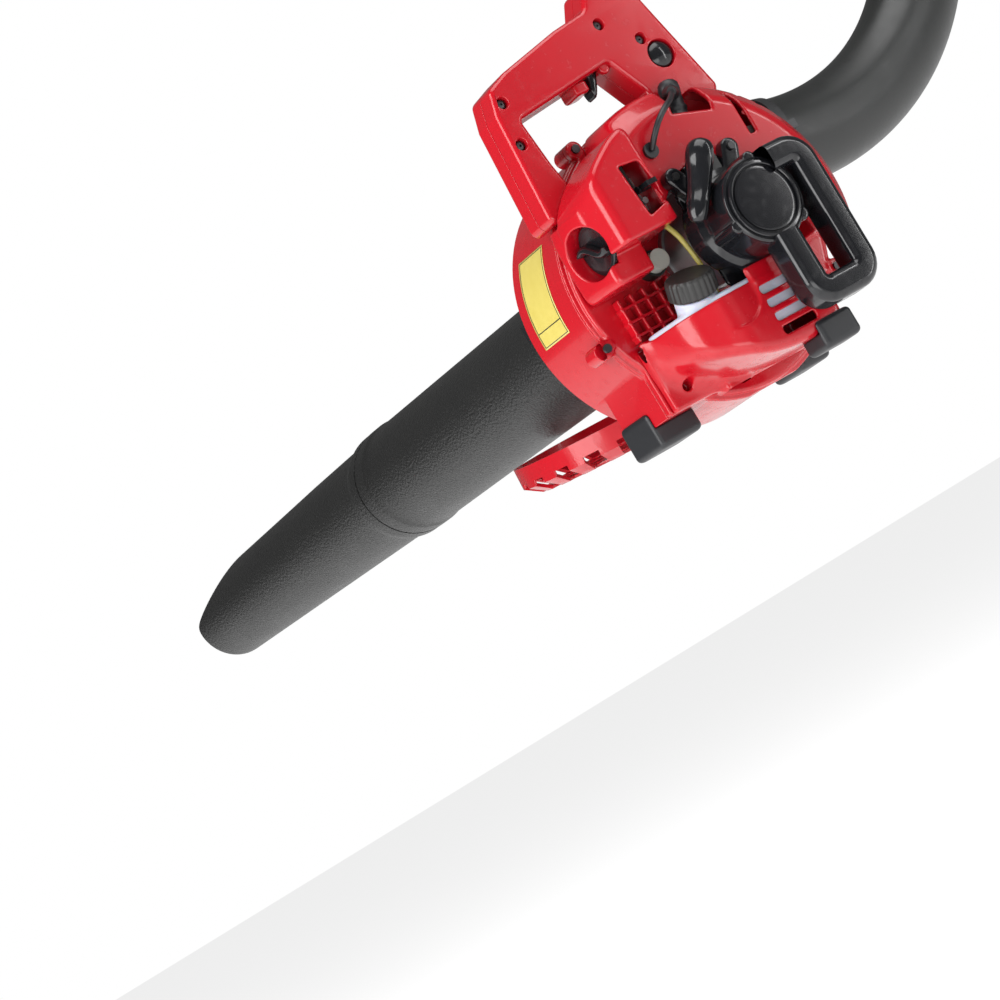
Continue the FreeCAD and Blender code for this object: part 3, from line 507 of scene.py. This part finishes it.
def moulded(field, low, high, step):
    """Points and faces where a field of distances is zero.

    Each cell of a cubic grid that the surface crosses gives one point, and each grid edge it crosses
    gives a face between the four cells round it. The points are then evened out and drawn along the
    field's slope onto the surface.
    """
    axes = [np.arange(a - step, b + 2 * step, step) for a, b in zip(low, high)]
    grid = np.stack(np.meshgrid(*axes, indexing="ij"), -1)
    inside = field(grid) < 0
    nx, ny, nz = np.array(inside.shape) - 1
    count = sum(inside[i:i + nx, j:j + ny, k:k + nz].astype(int)
                for i in (0, 1) for j in (0, 1) for k in (0, 1))
    crossed = (count > 0) & (count < 8)
    number = np.full(crossed.shape, -1)
    number[crossed] = np.arange(crossed.sum())
    points, faces = grid[:-1, :-1, :-1][crossed] + step / 2, []
    for axis in range(3):
        order = (axis, (axis + 1) % 3, (axis + 2) % 3)
        side, cell = np.transpose(inside, order), np.transpose(number, order)
        i, j, k = np.nonzero((side[:-1] != side[1:])[:, 1:-1, 1:-1])
        quad = np.stack((cell[i, j, k], cell[i, j + 1, k], cell[i, j + 1, k + 1], cell[i, j, k + 1]), 1)
        faces.append(np.where(side[i, j + 1, k + 1][:, None], quad, quad[:, ::-1]))
    faces = np.concatenate(faces)
    start, end = np.roll(faces, 1, 1).ravel(), faces.ravel()
    times = np.bincount(start, minlength=len(points))[:, None]
    for smoothing in range(3):
        total = np.stack([np.bincount(start, points[end, i], len(points)) for i in range(3)], 1)
        points = 0.4 * points + 0.6 * total / np.maximum(times, 1)
        for onto in range(2):
            slope = np.stack([(field(points + nudge) - field(points - nudge)) / 0.1
                              for nudge in 0.05 * np.eye(3)], 1)
            move = slope * (field(points) / np.maximum((slope ** 2).sum(1), 0.3))[:, None]
            points = points - np.clip(move, -step, step)
    return points, faces


SHAFT = ((0, 0, 0), (0, 1, 0))


def blade(p):
    """The trigger's side view as two lobes, 16 mm thick, with a hollow for the finger."""
    x, z = p[..., 0], p[..., 2]
    side = convex(p, [(-15, 180), (-15, 160), (-12, 142), (-3, 152), (4, 168), (12, 182), (10, 192),
                      (-8, 191)], (0, 2), 5)
    side = take(side, bar(p, (-22, 0, 164), (0, 1, 0), 11, -100, 0), 3)
    return meet(meet(side, -79 - p[..., 1], 4), p[..., 1] + 63, 4)


piece("trigger_blade", *moulded(blade, (-16, -79, 141), (13, -63, 193), 0.8), black_gloss, "trigger",
      "black_plastic", ["trigger"], sharp=180)


def pivot(p):
    """A small round boss at the trigger's root and a stop behind its blade."""
    return join(bar(p, (4, 0, 164), (0, 1, 0), 5, -86, -80, 1.5),
                block(p, (-31, -84, 152.5), (-17, -60, 163), 3), 1)


piece("trigger_pivot", *moulded(pivot, (-31, -86, 152), (9, -57, 170), 0.9), red_plastic, "machine",
      "red_plastic", sharp=180)
dome = [(-78, 0), (-78, 11.6), (-86.4, 11.6), (-87.8, 11.2), (-88.8, 10), (-90.2, 6.5), (-90.9, 3),
        (-91, 0)]
piece("stop_dome", turned(dome, (BUTTON_AT[0], 0, BUTTON_AT[1]), around=64), grid_faces(len(dome), 64),
      black_gloss, "stop_button", "black_plastic", ["stop_button"], sharp=60)


# ---- drum's engine side --------------------------------------------------------------------------
# The drum's near half: a flat plate with the flange, the wall of the plinth, screw bosses, and a
# grid of stiffening ribs under the carburettor. Red plastic, moulded in one with its ribs.
STAND = [(-103, -50), (-103, -106), (80, -106), (80, -88)]
BOSS_R, DRUM_R, SEAM_Y, WEB_SCREW = 127.9, 121, -65.02, (-82, 0, -91)
BOSSES = [(BOSS_R * math.cos(math.radians(a)), BOSS_R * math.sin(math.radians(a)))
          for a in (114, 196, 330)]


def near_plate(p):
    """Disc, plinth wall, flange and bosses joined, hollow behind, bored for the crankcase."""
    y, z = p[..., 1], p[..., 2]
    plinth = meet(convex(p, STAND, (0, 2), 3), np.abs(y + 68.5) - 3.5, 1.5)
    flange = meet(bar(p, *SHAFT, 124.5, -68, SEAM_Y, 1), -122 - z)
    whole = join(join(bar(p, *SHAFT, DRUM_R, -72, SEAM_Y, 3), plinth, 2), flange, 1.5)
    for x, up in BOSSES:
        whole = join(whole, bar(p, (x, 0, up), (0, 1, 0), 7.5, -72, SEAM_Y, 1.5), 3)
    whole = take(whole, bar(p, *SHAFT, 118, -69, -60))
    whole = take(whole, bar(p, *SHAFT, 20, -80, -60), 0.8)
    return take(whole, bar(p, WEB_SCREW, (0, 1, 0), 4, -80, -67), 0.8)


def rib_grid(p):
    """Thin upright ribs 13 mm apart crossed by three level ones, as deep as the recess."""
    x, z = p[..., 0], p[..., 2]
    across = np.abs((x + 96.8 + 6.5) % 13 - 6.5) - 1.2
    level = np.min([np.abs(z - at) for at in (-38.8, -26.8, -14.8)], axis=0) - 1.2
    return meet(meet(join(across, level, 1.5), block(p, (-99, -81, -44), (-43.6, -71.5, -6), 1.5), 0.8),
                bar(p, *SHAFT, 120, -90, -60), 0.5)


piece("near_plate", *moulded(near_plate, (-126, -72, -122), (126, -65, 126), 1.3), red_plastic, "machine",
      "red_plastic", ["volute_engine_half"], sharp=180)
piece("near_ribs", *moulded(rib_grid, (-99, -81, -44), (-43, -71, -6), 0.7), red_plastic, "machine",
      "red_plastic", sharp=180)


# ---- filter cover --------------------------------------------------------------------------------
# A rounded red box over the air filter. Its rear face slants and holds the round seat of the knob,
# and its near face has the slot of the choke lever. One moulding with 3 mm walls.
KNOB_FOOT, COVER_WALL = np.array((0, -106.0, 33.0)), 3


def cover_block(p):
    """A tall upper block and a shallower lower one, joined by a fillet."""
    x, y, z = p[..., 0], p[..., 1], p[..., 2]
    plan = convex(p, [(-122, -73), (-122, -86), (-106, -146), (-49, -146), (-49, -73)], (0, 1), 7)
    side = convex(p, [(-122, -2), (-122, 60), (-106, 82), (-62, 107), (-49, 107), (-49, -2)], (0, 2), 9)
    whole = meet(plan, side, 6)
    upper = meet(meet(whole, 22 - z, 3), y + 90.6, 2)
    lower = meet(meet(meet(whole, -120 - y, 4), x + 76.5, 2), z - 64)
    return join(upper, lower, 2.5)


def cover(p):
    """The block less its hollow, the knob's seat, the stud's hole and the choke slot."""
    solid = cover_block(p)
    room = take(solid + COVER_WALL, bar(p, KNOB_FOOT, (1, 0, 0), 25, -125, -99.5))
    seat = bar(p, KNOB_FOOT, (1, 0, 0), 22, -130, -103, 1)
    slot = meet(convex(p, [(-77, 78), (-57, 76), (-51, 38), (-73, 33)], (0, 2), 3), p[..., 1] + 140)
    return take(take(take(take(solid, room), seat, 1.6), slot, 1.2),
                bar(p, KNOB_FOOT, (1, 0, 0), 4.5, -110, -95))


piece("air_cover", *moulded(cover, (-122, -146, -2), (-49, -73, 107), 1.1), red_plastic, "machine",
      "red_plastic", ["filter_cover"], sharp=180)


# ---- tank guard ----------------------------------------------------------------------------------
# A red bowl under and round the tank, with four slots that show the fuel, a shallow dish beside the
# cap for the fingers and a sloping web to the plinth, which its screw goes through.
DISH_AT, GUARD_OUT, GUARD_WALL, GUARD_TOP = (-50, 0, -50), 3.4, 3, -48


def bowl(p, out):
    """The tank's plan and side view moved outwards, met with a wide round at the sloping corner."""
    plan = convex(p, [(-98 - out, -82), (-83 - out, -127 - 0.7 * out), (-58 - 0.5 * out, -146 - out),
                      (34 + out, -146 - out), (34 + out, -82)], (0, 1), 7)
    side = convex(p, [(-104, 0), (-101 - out / 9, -56), (-88 - out / 9, -82), (-50, -103), (-26, -110),
                      (34 + out, -110), (34 + out, 0)], (0, 2), 9)
    return meet(plan, side, 8)


def guard(p):
    """The bowl less a smaller bowl, with its foot block, web, dish, slots and screw hole."""
    skin, z = bowl(p, GUARD_OUT), p[..., 2]
    outer = meet(skin, z - GUARD_TOP, 1.6)
    raised = block(p, (-46, -149.4, -52), (37, -146.4, -37), 1.6)
    foot = block(p, (-50, -86, -110), (37.4, -72.2, -86), 3)
    web = meet(block(p, (-101, -80, -106), (-38, -72.3, -50), 3), z - GUARD_TOP + 0.1)
    whole = join(join(join(outer, foot, 4), web, 16), raised, 1)
    hollow = take(meet(skin + GUARD_WALL, -107 - z, 2), bar(p, DISH_AT, (0, 1, 0), 29, -170, -145))
    whole = take(whole, hollow, 1)
    dish = bar(p, DISH_AT, (0, 1, 0), 26, -170, -147.5, 1.5)
    whole = take(whole, meet(dish, p[..., 0] + 24, 6), 2)
    for slot_z in (-98, -86, -74, -62):
        whole = take(whole, block(p, (-24, -155, slot_z), (11, -140, slot_z + 7), 2.6), 0.8)
    return take(whole, bar(p, WEB_SCREW, (0, 1, 0), 4.4, -110, -70), 1)


piece("tank_bowl", *moulded(guard, (-102, -150, -110), (38, -72, -37), 1.2), red_plastic, "machine",
      "red_plastic", ["tank_guard"], sharp=180)


# ---- fuel tank -----------------------------------------------------------------------------------
# A blow-moulded tank of milky white plastic inside the guard, with a short leaning neck for the cap.
tank_plastic = Finish("tank_plastic", {"Subsurface Weight": 0.35, "Subsurface Scale": 0.006, "IOR": 1.5})
cloud = tank_plastic.noise(14, 3.0)
tank_plastic.feed(Base_Color=tank_plastic.blend(cloud, (0.42, 0.45, 0.56, 1), (0.56, 0.59, 0.68, 1)),
                  Roughness=0.34 + cloud * 0.1)
tank_plastic.bump(tank_plastic.noise(3, 2.0), 0.02)
CAP_FOOT, CAP_WAY = np.array((-62, -122, -41.0)), np.array((-0.05, -0.42, 0.906))


def tank(p):
    """The bowl's shape with a flat rounded top, joined to the neck by a fillet and bored from it."""
    body = meet(meet(bowl(p, 0), p[..., 2] + 44, 5), -88 - p[..., 2], 3)
    body = meet(body, p[..., 1] + 82, 3)
    neck = bar(p, CAP_FOOT, CAP_WAY, 17.5, -10, 6, 1.5)
    return take(join(body, neck, 3), bar(p, CAP_FOOT, CAP_WAY, 14.5, -4, 20), 0.6)


piece("tank", *moulded(tank, (-100, -149, -90), (36, -81, -32), 1.3), tank_plastic.material, "machine",
      "tank_plastic", ["fuel_tank"], sharp=180)


# ---- engine cowl ---------------------------------------------------------------------------------
# A red shroud over the cylinder, struck round the crankshaft with a chamfered near rim. It has a
# window for the starter, radial vents, a long slot and a notch that lets the plug boot out.
LEAN = math.radians(16)
STACK = np.array((math.sin(LEAN), 0, math.cos(LEAN)))
GROMMET = (-32, 0, 80)
COWL_R, COWL_NEAR, COWL_WALL = 126, -130, 3


def hood(p, wall):
    """A round drum with a 45 degree rim, drawn inwards by a wall's thickness."""
    y, away = p[..., 1], np.sqrt(p[..., 0] ** 2 + p[..., 2] ** 2)
    out, near = COWL_R - wall, COWL_NEAR + wall
    return meet(meet(away - out, (away - (out - 18) - (y - near)) / 1.414, 6), near - y, 4)


def cowl(p):
    """The hood cut to the cowl's side view, less its hollow, window, slot, vents and boot's notch."""
    x, y, z = p[..., 0], p[..., 1], p[..., 2]
    upper = convex(p, [(-48, 24), (-48, 108), (-34, 130), (134, 130), (134, 24)], (0, 2), 4)
    lower = convex(p, [(56, 40), (134, 40), (134, -36), (66, -36)], (0, 2), 2)
    whole = meet(meet(hood(p, 0), join(upper, lower, 2), 3), y + 72)
    room, passage = hood(p, COWL_WALL), meet(np.abs(x - 6) - 51, np.abs(z - 20) - 12)
    inner = join(meet(room, join(upper + COWL_WALL, lower + COWL_WALL)), meet(room, passage))
    whole = take(whole, inner, 0.8)
    whole = take(whole, bar(p, *SHAFT, 58, -140, -120), 1.5)
    whole = take(whole, block(p, (61.5, -134, 57), (68, -118, 98), 2), 1)
    for turn in (22, 31, 40, 49):
        a = math.radians(turn)
        off = z * math.cos(a) - x * math.sin(a)
        out = x * math.cos(a) + z * math.sin(a)
        vent = meet(meet(np.abs(off) - 2.6, np.abs(y + 104) - 13, 2.5), np.abs(out - 117) - 13)
        whole = take(whole, vent, 1)
    up, side = p @ STACK, x * STACK[2] - z * STACK[0]
    notch = meet(meet(meet(np.abs(side + 3.5) - 18.5, y + 87, 8), 97 - up, 1.5), -131 - y)
    return take(take(whole, notch, 2), bar(p, GROMMET, (0, 1, 0), 4, -135, -120))


piece("shroud", *moulded(cowl, (-49, -131, -37), (127, -71, 127), 1.3), red_plastic, "machine",
      "red_plastic", ["engine_cowl"], sharp=180)


# ---- starter -------------------------------------------------------------------------------------
# A gloss-black housing turned about the crankshaft, with ringed grooves round its plain cap. The
# cord's pull grip is a hollowed paddle, and the black loop beside it steadies the machine.
face = [(-183.4, 0), (-183.6, 24), (-183.2, 26.4), (-181.8, 26.8), (-181.8, 28.2), (-183.6, 28.6),
        (-184, 29.4), (-183.8, 31.2), (-182.2, 31.8), (-180.9, 32.0), (-180.9, 33.2), (-181.8, 33.6),
        (-181.2, 35), (-179, 36), (-152, 36.4), (-148.5, 37.4), (-146.6, 40), (-145.4, 42.2),
        (-143, 43), (-129, 43.4), (-127, 42.6), (-127, 0)]
piece("starter_body", turned(face, around=128), grid_faces(len(face), 128), black_gloss, "machine",
      "black_plastic", ["starter_housing", "starter_cap"], sharp=28)


def arms(p):
    """A thin backing plate, two flat arms with round ends for the screws, and three lugs on the nose."""
    out = np.full(p.shape[:-1], 1e9)
    for turn in (-62, -122):
        c, d = math.cos(math.radians(turn)), -math.sin(math.radians(turn))
        run, off = p[..., 0] * c + p[..., 2] * d, p[..., 2] * c - p[..., 0] * d
        arm = meet(np.abs(off) - 8, np.abs(run - 47) - 14)
        arm = join(arm, bar(p, (61 * c, 0, 61 * d), (0, 1, 0), 8, -200, 0))
        out = join(out, meet(arm, np.abs(p[..., 1] + 136) - 6, 3))
    plate = meet(bar(p, *SHAFT, 53, -131, -128, 1.5), -34 - p[..., 0], 1.5)
    out = join(out, plate, 2)
    for turn in (75, 196, 318):
        x, z = 35 * math.cos(math.radians(turn)), 35 * math.sin(math.radians(turn))
        out = join(out, bar(p, (x, 0, z), (0, 1, 0), 5.5, -181, -150, 1.5))
    return out


piece("starter_arms", *moulded(arms, (-45, -181, -54), (54, -128, 70), 1.1), black_gloss, "machine",
      "black_plastic", sharp=180)


def opened(corners, radius):
    """An open line through corners, each inner corner an arc. It keeps rounded()'s turning sense."""
    ring = rounded(corners, radius, 9)[0].reshape(len(corners), 9, 2)
    corners = np.array(corners, float)
    if np.sum(np.cross(corners, np.roll(corners, -1, 0))) < 0:
        corners = corners[::-1]
    return np.concatenate((corners[:1], ring[1:-1].reshape(-1, 2), corners[-1:]))


loop = opened([(0, -30), (0, -86), (51, -86), (51, 26), (20, 26)], 13)
loop = np.insert(dense(loop, 12), 1, -176, axis=1)
section = rounded([(-11.25, -14), (11.25, -14), (11.25, 14), (-11.25, 14)], 6.5)[0]
piece("loop_bar", carried(loop, section), grid_faces(len(loop), len(section)), black_gloss,
      "machine", "black_plastic", ["loop_handle"])


# The grip is a hollowed paddle on the end of the cord, moulded in the same black plastic.
def together(*shapes):
    """Several (points, faces) as one: each shape's faces are numbered on from the last point."""
    points, faces, base = [], [], 0
    for spots, sides in shapes:
        spots = spots.reshape(-1, 3)
        faces += [np.asarray(side) + base for side in sides]
        points.append(spots)
        base += len(spots)
    return np.concatenate(points), faces


PULL = np.array((-0.60, -0.66, 0.45)) / np.linalg.norm((-0.60, -0.66, 0.45))
GRIP_AT, ACROSS = np.array((-30, -162, 38.0)), np.array((0.6, 0, 0.8))
along = np.linspace(-1, 1, 41)
paddle = np.stack((36 * along, (10.4 + 2.2 * along) * (1 - np.abs(along) ** 7) ** 0.5), 1)
grip = turned(paddle, GRIP_AT, ACROSS, 48)
depth = (grip - GRIP_AT) @ PULL
hollow = 2.4 * np.exp(-((grip - GRIP_AT) @ ACROSS / 17) ** 4)
grip -= PULL * (depth * 0.22 + np.where(depth > 3, hollow, 0))[:, None]
stem = turned([(-9, 0), (-9, 5.5), (-3, 6.2), (2, 6.6), (2, 0)], GRIP_AT, PULL, 32)
piece("pull_paddle", *together((grip, grid_faces(41, 48)), (stem, grid_faces(5, 32))), black_gloss,
      "pull_grip", "black_plastic", ["starter_grip"], sharp=45)


# ---- plug boot -----------------------------------------------------------------------------------
# A soft black rubber boot pushed over the spark plug, ribbed at its foot, with the lead's sleeve
# moulded into its side.
rubber = grained("rubber", (0.006, 0.0065, 0.009), (0.010, 0.011, 0.013), 0.7, 0.03, 0.38)
boot = [(100, 0), (100, 9.4), (101.5, 10.4), (103.5, 10.4), (105, 9.3), (107, 9.3), (108.5, 10),
        (110.5, 10), (112, 8.9), (120, 8.6), (127, 9.0), (131, 8.4), (133.6, 6.4), (134.8, 3.6),
        (135, 0)]
body = turned(boot, (0, -102, 0), STACK, 48)
TOP = np.array((0, -102, 0)) + STACK * 123
nose_way = np.array((-9, -15, -1.0)) / np.linalg.norm((-9, -15, -1.0))
sleeve = [(0, 0), (0, 7.4), (8, 7.0), (13, 5.6), (18, 4.4), (21, 3.8), (21, 0)]
piece("boot", *together((body, grid_faces(len(boot), 48)),
                        (turned(sleeve, TOP, nose_way, 36), grid_faces(len(sleeve), 36))),
      rubber, "machine", "black_rubber", ["plug_boot"], sharp=50)


# ---- plug lead and fuel hose ---------------------------------------------------------------------
# The lead is black insulated wire, stiff, from the boot's sleeve to a grommet in the cowl. The fuel
# hose is clear yellow tube from the carburettor down into the tank.
hose = Finish("hose", {"Transmission Weight": 0.25, "Roughness": 0.25, "IOR": 1.45})
haze = hose.noise(5, 2.0)
hose.feed(Base_Color=hose.blend(haze, (0.62, 0.54, 0.14, 1), (0.45, 0.38, 0.08, 1)))
BOOT_TOP = np.array((33.9, -102, 118.2))
LEAD = [BOOT_TOP + (-9, -15, -1), (10, -133, 110), (-8, -143, 104), (-25, -143, 93),
        (GROMMET[0], -133, GROMMET[2])]
FUEL_LINE = [(-48, -113, 32), (-44, -119, 18), (-40.5, -120, 0), (-37, -118, -20), (-36, -115, -44)]


def line(name, route, radius_mm, length_mm, finish, slot, node):
    """A round cord on a quadratic NURBS line that ends on the route's first and last points."""
    curve = bpy.data.curves.new(name, "CURVE")
    curve.dimensions, curve.bevel_depth, curve.bevel_resolution = "3D", radius_mm / 1000, 6
    curve.resolution_u, curve.use_fill_caps = 16, True
    spline = curve.splines.new("NURBS")
    spline.points.add(len(route) - 1)
    spline.points.foreach_set("co", np.insert(place(route), 3, 1.0, axis=1).ravel())
    spline.order_u, spline.use_endpoint_u = 3, True
    curve.materials.append(finish)
    made = bpy.data.objects.new(name, curve)
    bpy.context.scene.collection.objects.link(made)
    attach(made, "machine")
    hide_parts(node)
    length_mm / 1000
    2 * radius_mm / 1000


line("lead", LEAD, 2.5, 80.6, rubber, "black_rubber", "ignition_lead")
line("fuel_hose", FUEL_LINE, 2.2, 78.4, hose.material, "fuel_hose", "fuel_line")


# ---- filler cap ----------------------------------------------------------------------------------
# A screw cap for the fuel tank with shallow finger flutes round its skirt, in a dull black rubbery
# plastic, so that it can be turned with gloves on.
cap = [(-4, 0), (-4, 14.2), (7.4, 14.2), (7.6, 19.6), (8.6, 20.6), (20, 20.2), (22.6, 19.6), (24, 18),
       (24.4, 15), (24.0, 13.6), (24.0, 0)]
ROUND_CAP, FLUTES = 120, 24
skirt = turned(cap, CAP_FOOT, CAP_WAY, ROUND_CAP).reshape(len(cap), ROUND_CAP, 3)
spoke = skirt - (CAP_FOOT + np.array(cap)[:, :1, None] * CAP_WAY)
flute = 0.5 + 0.5 * np.cos(np.linspace(0, FLUTES * 2 * np.pi, ROUND_CAP, endpoint=False))
cut = np.array([1.0 if 8 < a < 23 and r > 19 else 0.0 for a, r in cap])
skirt -= spoke * (0.045 * cut[:, None] * flute[None] ** 2)[:, :, None]
rubbery = grained("rubbery_plastic", (0.008, 0.0078, 0.0075), (0.017, 0.016, 0.015), 0.9, 0.05, 0.46)
piece("filler_cap", skirt, grid_faces(len(cap), ROUND_CAP), rubbery, "cap", "black_plastic", ["fuel_cap"])


# ---- filter knob ---------------------------------------------------------------------------------
# A black knob that holds the air filter's cover: a dished round base with an S-shaped wing across
# it for the fingers, sunk into a round seat in the cover.
base = [(-80, 0), (-80, 4), (-103.6, 4), (-103.6, 20.6), (-104.6, 21.4), (-106.5, 21.2), (-107.4, 20),
        (-107.0, 17), (-105.6, 12), (-105.2, 0)]
ALONG, ROUND = 33, 24
reach = np.linspace(-1, 1, ALONG)
spine = KNOB_FOOT + np.stack((np.full(ALONG, -109.0), 18.5 * reach, 5.5 * np.sin(2.6 * reach)), 1)
fat = np.sqrt(1 - np.abs(reach) ** 6) * (0.75 + 0.25 * reach ** 2)
wing = carried(spine, circle(1.0, ROUND), (1, 0, 0)).reshape(ALONG, ROUND, 3) - spine[:, None]
wing = spine[:, None] + wing * np.stack((np.full(ALONG, 5.4), 4.6 * fat, 4.6 * fat), 1)[:, None]
wing_faces = [*grid_faces(ALONG, ROUND), np.arange(ROUND), (ALONG - 1) * ROUND + np.arange(ROUND)]
piece("cover_knob", *together((turned(base, KNOB_FOOT, (1, 0, 0), 96), grid_faces(len(base), 96)),
                              (wing, wing_faces)),
      black_gloss, "knob", "black_plastic", ["filter_knob"], sharp=45)


# ---- warning sticker -----------------------------------------------------------------------------
# A thin yellow film wrapped round the rear of the drum: a plain black frame line and a header line,
# with nothing written on it.
film = Finish("label_film", {"Roughness": 0.32, "Coat Weight": 0.3})
sheet_at = film.node("ShaderNodeUVMap", {"uv_map": "sheet"})
across_it = film.node("ShaderNodeSeparateXYZ", {}, {"Vector": sheet_at})
down_it = Wire(film, across_it.socket.node.outputs[1])


def line_at(wire, at, half):
    """1 where the value lies within half a width of a line, else 0."""
    return 1 - (film.node("ShaderNodeMath", {"operation": "ABSOLUTE"}, {0: wire - at}) > half)


framed = line_at(across_it, 0.5, 0.47) * line_at(down_it, 0.5, 0.485)
core = line_at(across_it, 0.5, 0.445) * line_at(down_it, 0.5, 0.475)
ink = framed - core + line_at(down_it, 0.82, 0.006) * core
fade = film.noise(9, 4.0)
film.feed(Base_Color=film.blend(ink, film.blend(fade, (0.60, 0.50, 0.13, 1), (0.52, 0.42, 0.08, 1)),
                                (0.03, 0.03, 0.02, 1)))
FIRST_DEG, LAST_DEG, FILM_NEAR, FILM_FAR, FILM_R = 147, 183, -36, 8, 121.35
turn = np.radians(np.linspace(FIRST_DEG, LAST_DEG, 40))[:, None]
sheet = np.stack(np.broadcast_arrays(FILM_R * np.cos(turn), np.linspace(FILM_NEAR, FILM_FAR, 24)[None],
                                     FILM_R * np.sin(turn)), -1)
sticker = piece("sticker", sheet, grid_faces(40, 24, closed_columns=False), film.material, "machine",
                "label_film", ["warning_label"])
spots = np.array([v.co for v in sticker.data.vertices]) - AXIS
spot_deg = np.degrees(np.arctan2(spots[:, 2], spots[:, 0])) % 360
uv = np.stack(((spots[:, 1] * 1000 - FILM_NEAR) / (FILM_FAR - FILM_NEAR),
               (spot_deg - FIRST_DEG) / (LAST_DEG - FIRST_DEG)), 1)
sheet_uv = sticker.data.uv_layers.new(name="sheet")
corner_of = np.array([loop.vertex_index for loop in sticker.data.loops])
sheet_uv.data.foreach_set("uv", uv[corner_of].ravel())
thick = sticker.modifiers.new("film", "SOLIDIFY")
thick.thickness, thick.offset = 0.0002, 0


# ---- feet ----------------------------------------------------------------------------------------
# Black rubber pads pushed over the corners of the plinth and of the tank guard, with soft edges.
def pad(low, high, taken):
    """A rounded block less what it is pushed onto, kept clear of the drum."""
    return lambda p: take(take(block(p, low, high, 5), block(p, *taken), 0.8),
                          bar(p, *SHAFT, DRUM_R, -70, 22), 0.8)


PLINTH_BOX = ((-103, -72, -106), (80, 0, -40))
GUARD_BOX = ((-200, -149.4, -110), (37.4, -60, 0))
for node, low, high, taken in (("foot_rear", (-106, -44, -124), (-62, 3, -92), PLINTH_BOX),
                               ("foot_front", (50, -44, -124), (83, 3, -92), PLINTH_BOX),
                               ("foot_near", (2, -153, -124), (40, -122, -100), GUARD_BOX)):
    piece(node + "_pad", *moulded(pad(low, high, taken), low, high, 1.0), rubber, "machine",
          "black_rubber", [node], sharp=180)


# ---- screws --------------------------------------------------------------------------------------
# Blackened steel screws with round sockets, turned, and sunk in the near handle half's holes. The
# same oxide is used for the drum's and starter's screws and the elbow's clamp, further down.
dark_steel = Finish("dark_steel", {"Metallic": 1.0})
oxide = dark_steel.noise(0.9, 4.0)
dark_steel.feed(Base_Color=dark_steel.blend(oxide, (0.05, 0.05, 0.055, 1), (0.12, 0.12, 0.12, 1)),
                Roughness=0.34 + oxide * 0.2)
head = [(0, 0), (0, 4.2), (-1.2, 4.2), (-2.4, 3.4), (-2.9, 1.8), (-2.9, 1.1), (-1.2, 0.9), (-1.2, 0)]
SCREW_SEAT = -84
screws = [(turned(head, (x, SCREW_SEAT, z), (0, 1, 0), 28), grid_faces(len(head), 28))
          for x, z in GRIP_SCREWS]
piece("grip_screws", *together(*screws), dark_steel.material, "machine", "steel", ["handle_screws"])


# ---- bare metal ----------------------------------------------------------------------------------
# Drawn steel on the shafts, pins and springs, and sand-cast or die-cast alloy on the crankcase,
# cylinder, carburettor and flywheel. The muffler is pressed steel in heat-proof black paint.
steel = Finish("steel", {"Metallic": 1.0})
lines = steel.noise(0.8, 4.0, (1, 0.1, 1))
steel.feed(Base_Color=steel.blend(lines, (0.50, 0.50, 0.49, 1), (0.62, 0.62, 0.62, 1)),
           Roughness=0.24 + lines * 0.18)
steel.bump(lines, 0.01)
alloy = Finish("alloy", {"Metallic": 1.0})
sand = alloy.noise(1.0, 6.0)
alloy.feed(Base_Color=alloy.blend(sand, (0.36, 0.36, 0.37, 1), (0.58, 0.58, 0.58, 1)),
           Roughness=0.38 + sand * 0.2)
alloy.bump(sand, 0.08)
muffler_paint = grained("muffler_paint", (0.05, 0.045, 0.042), (0.09, 0.07, 0.06), 0.9, 0.04, 0.55)


# ---- foam and bulb -------------------------------------------------------------------------------
# Open-cell dark foam in the air filter, whose look the wound starter cord shares, and the primer's
# bulb, which is soft clear plastic gone slightly cloudy.
# The foam's pores take the darker colour: painted shade in the hollows of its cells and painted highlight on their
# tops.
foam = grained("foam", (0.07, 0.07, 0.075), (0.02, 0.02, 0.02), 1.6, 1.0, 0.9)
clear = Finish("clear", {"Transmission Weight": 0.5, "IOR": 1.42})
fog = clear.noise(6, 2.0)
clear.feed(Base_Color=clear.blend(fog, (0.80, 0.82, 0.76, 1), (0.66, 0.67, 0.60, 1)),
           Roughness=0.12 + fog * 0.2)


# ---- parts kept from the CAD ---------------------------------------------------------------------
# Every part that no piece above stands for keeps its CAD shape and takes the finish of its slot.
# The drum's and starter's screws and the elbow's band clamp are blackened.
BY_SLOT = {"red_plastic": red_plastic, "black_plastic": black_gloss, "grained_plastic": tube_plastic,
           "satin_plastic": satin_plastic, "tank_plastic": tank_plastic.material,
           "label_film": film.material, "black_rubber": rubber, "alloy": alloy.material,
           "steel": steel.material, "muffler_steel": muffler_paint, "clear_bulb": clear.material,
           "fuel_hose": hose.material, "foam": foam}
for node, shown in frame["nodes"].items():
    if not shown.hide_render:
        shown.data.materials.clear()
        shown.data.materials.append(BY_SLOT[SLOT_OF[node]])
for node in ("drum_screws", "starter_screws", "elbow_clamp"):
    frame["nodes"][node].data.materials[0] = dark_steel.material


# ---- suction lid ---------------------------------------------------------------------------------
# The slotted lid over the suction mouth, one red moulding on a hinge. Its shape is the CAD's own,
# with merged points and smooth faces, and its edges are not rounded.
eased("grille_lid", red_plastic, 0)
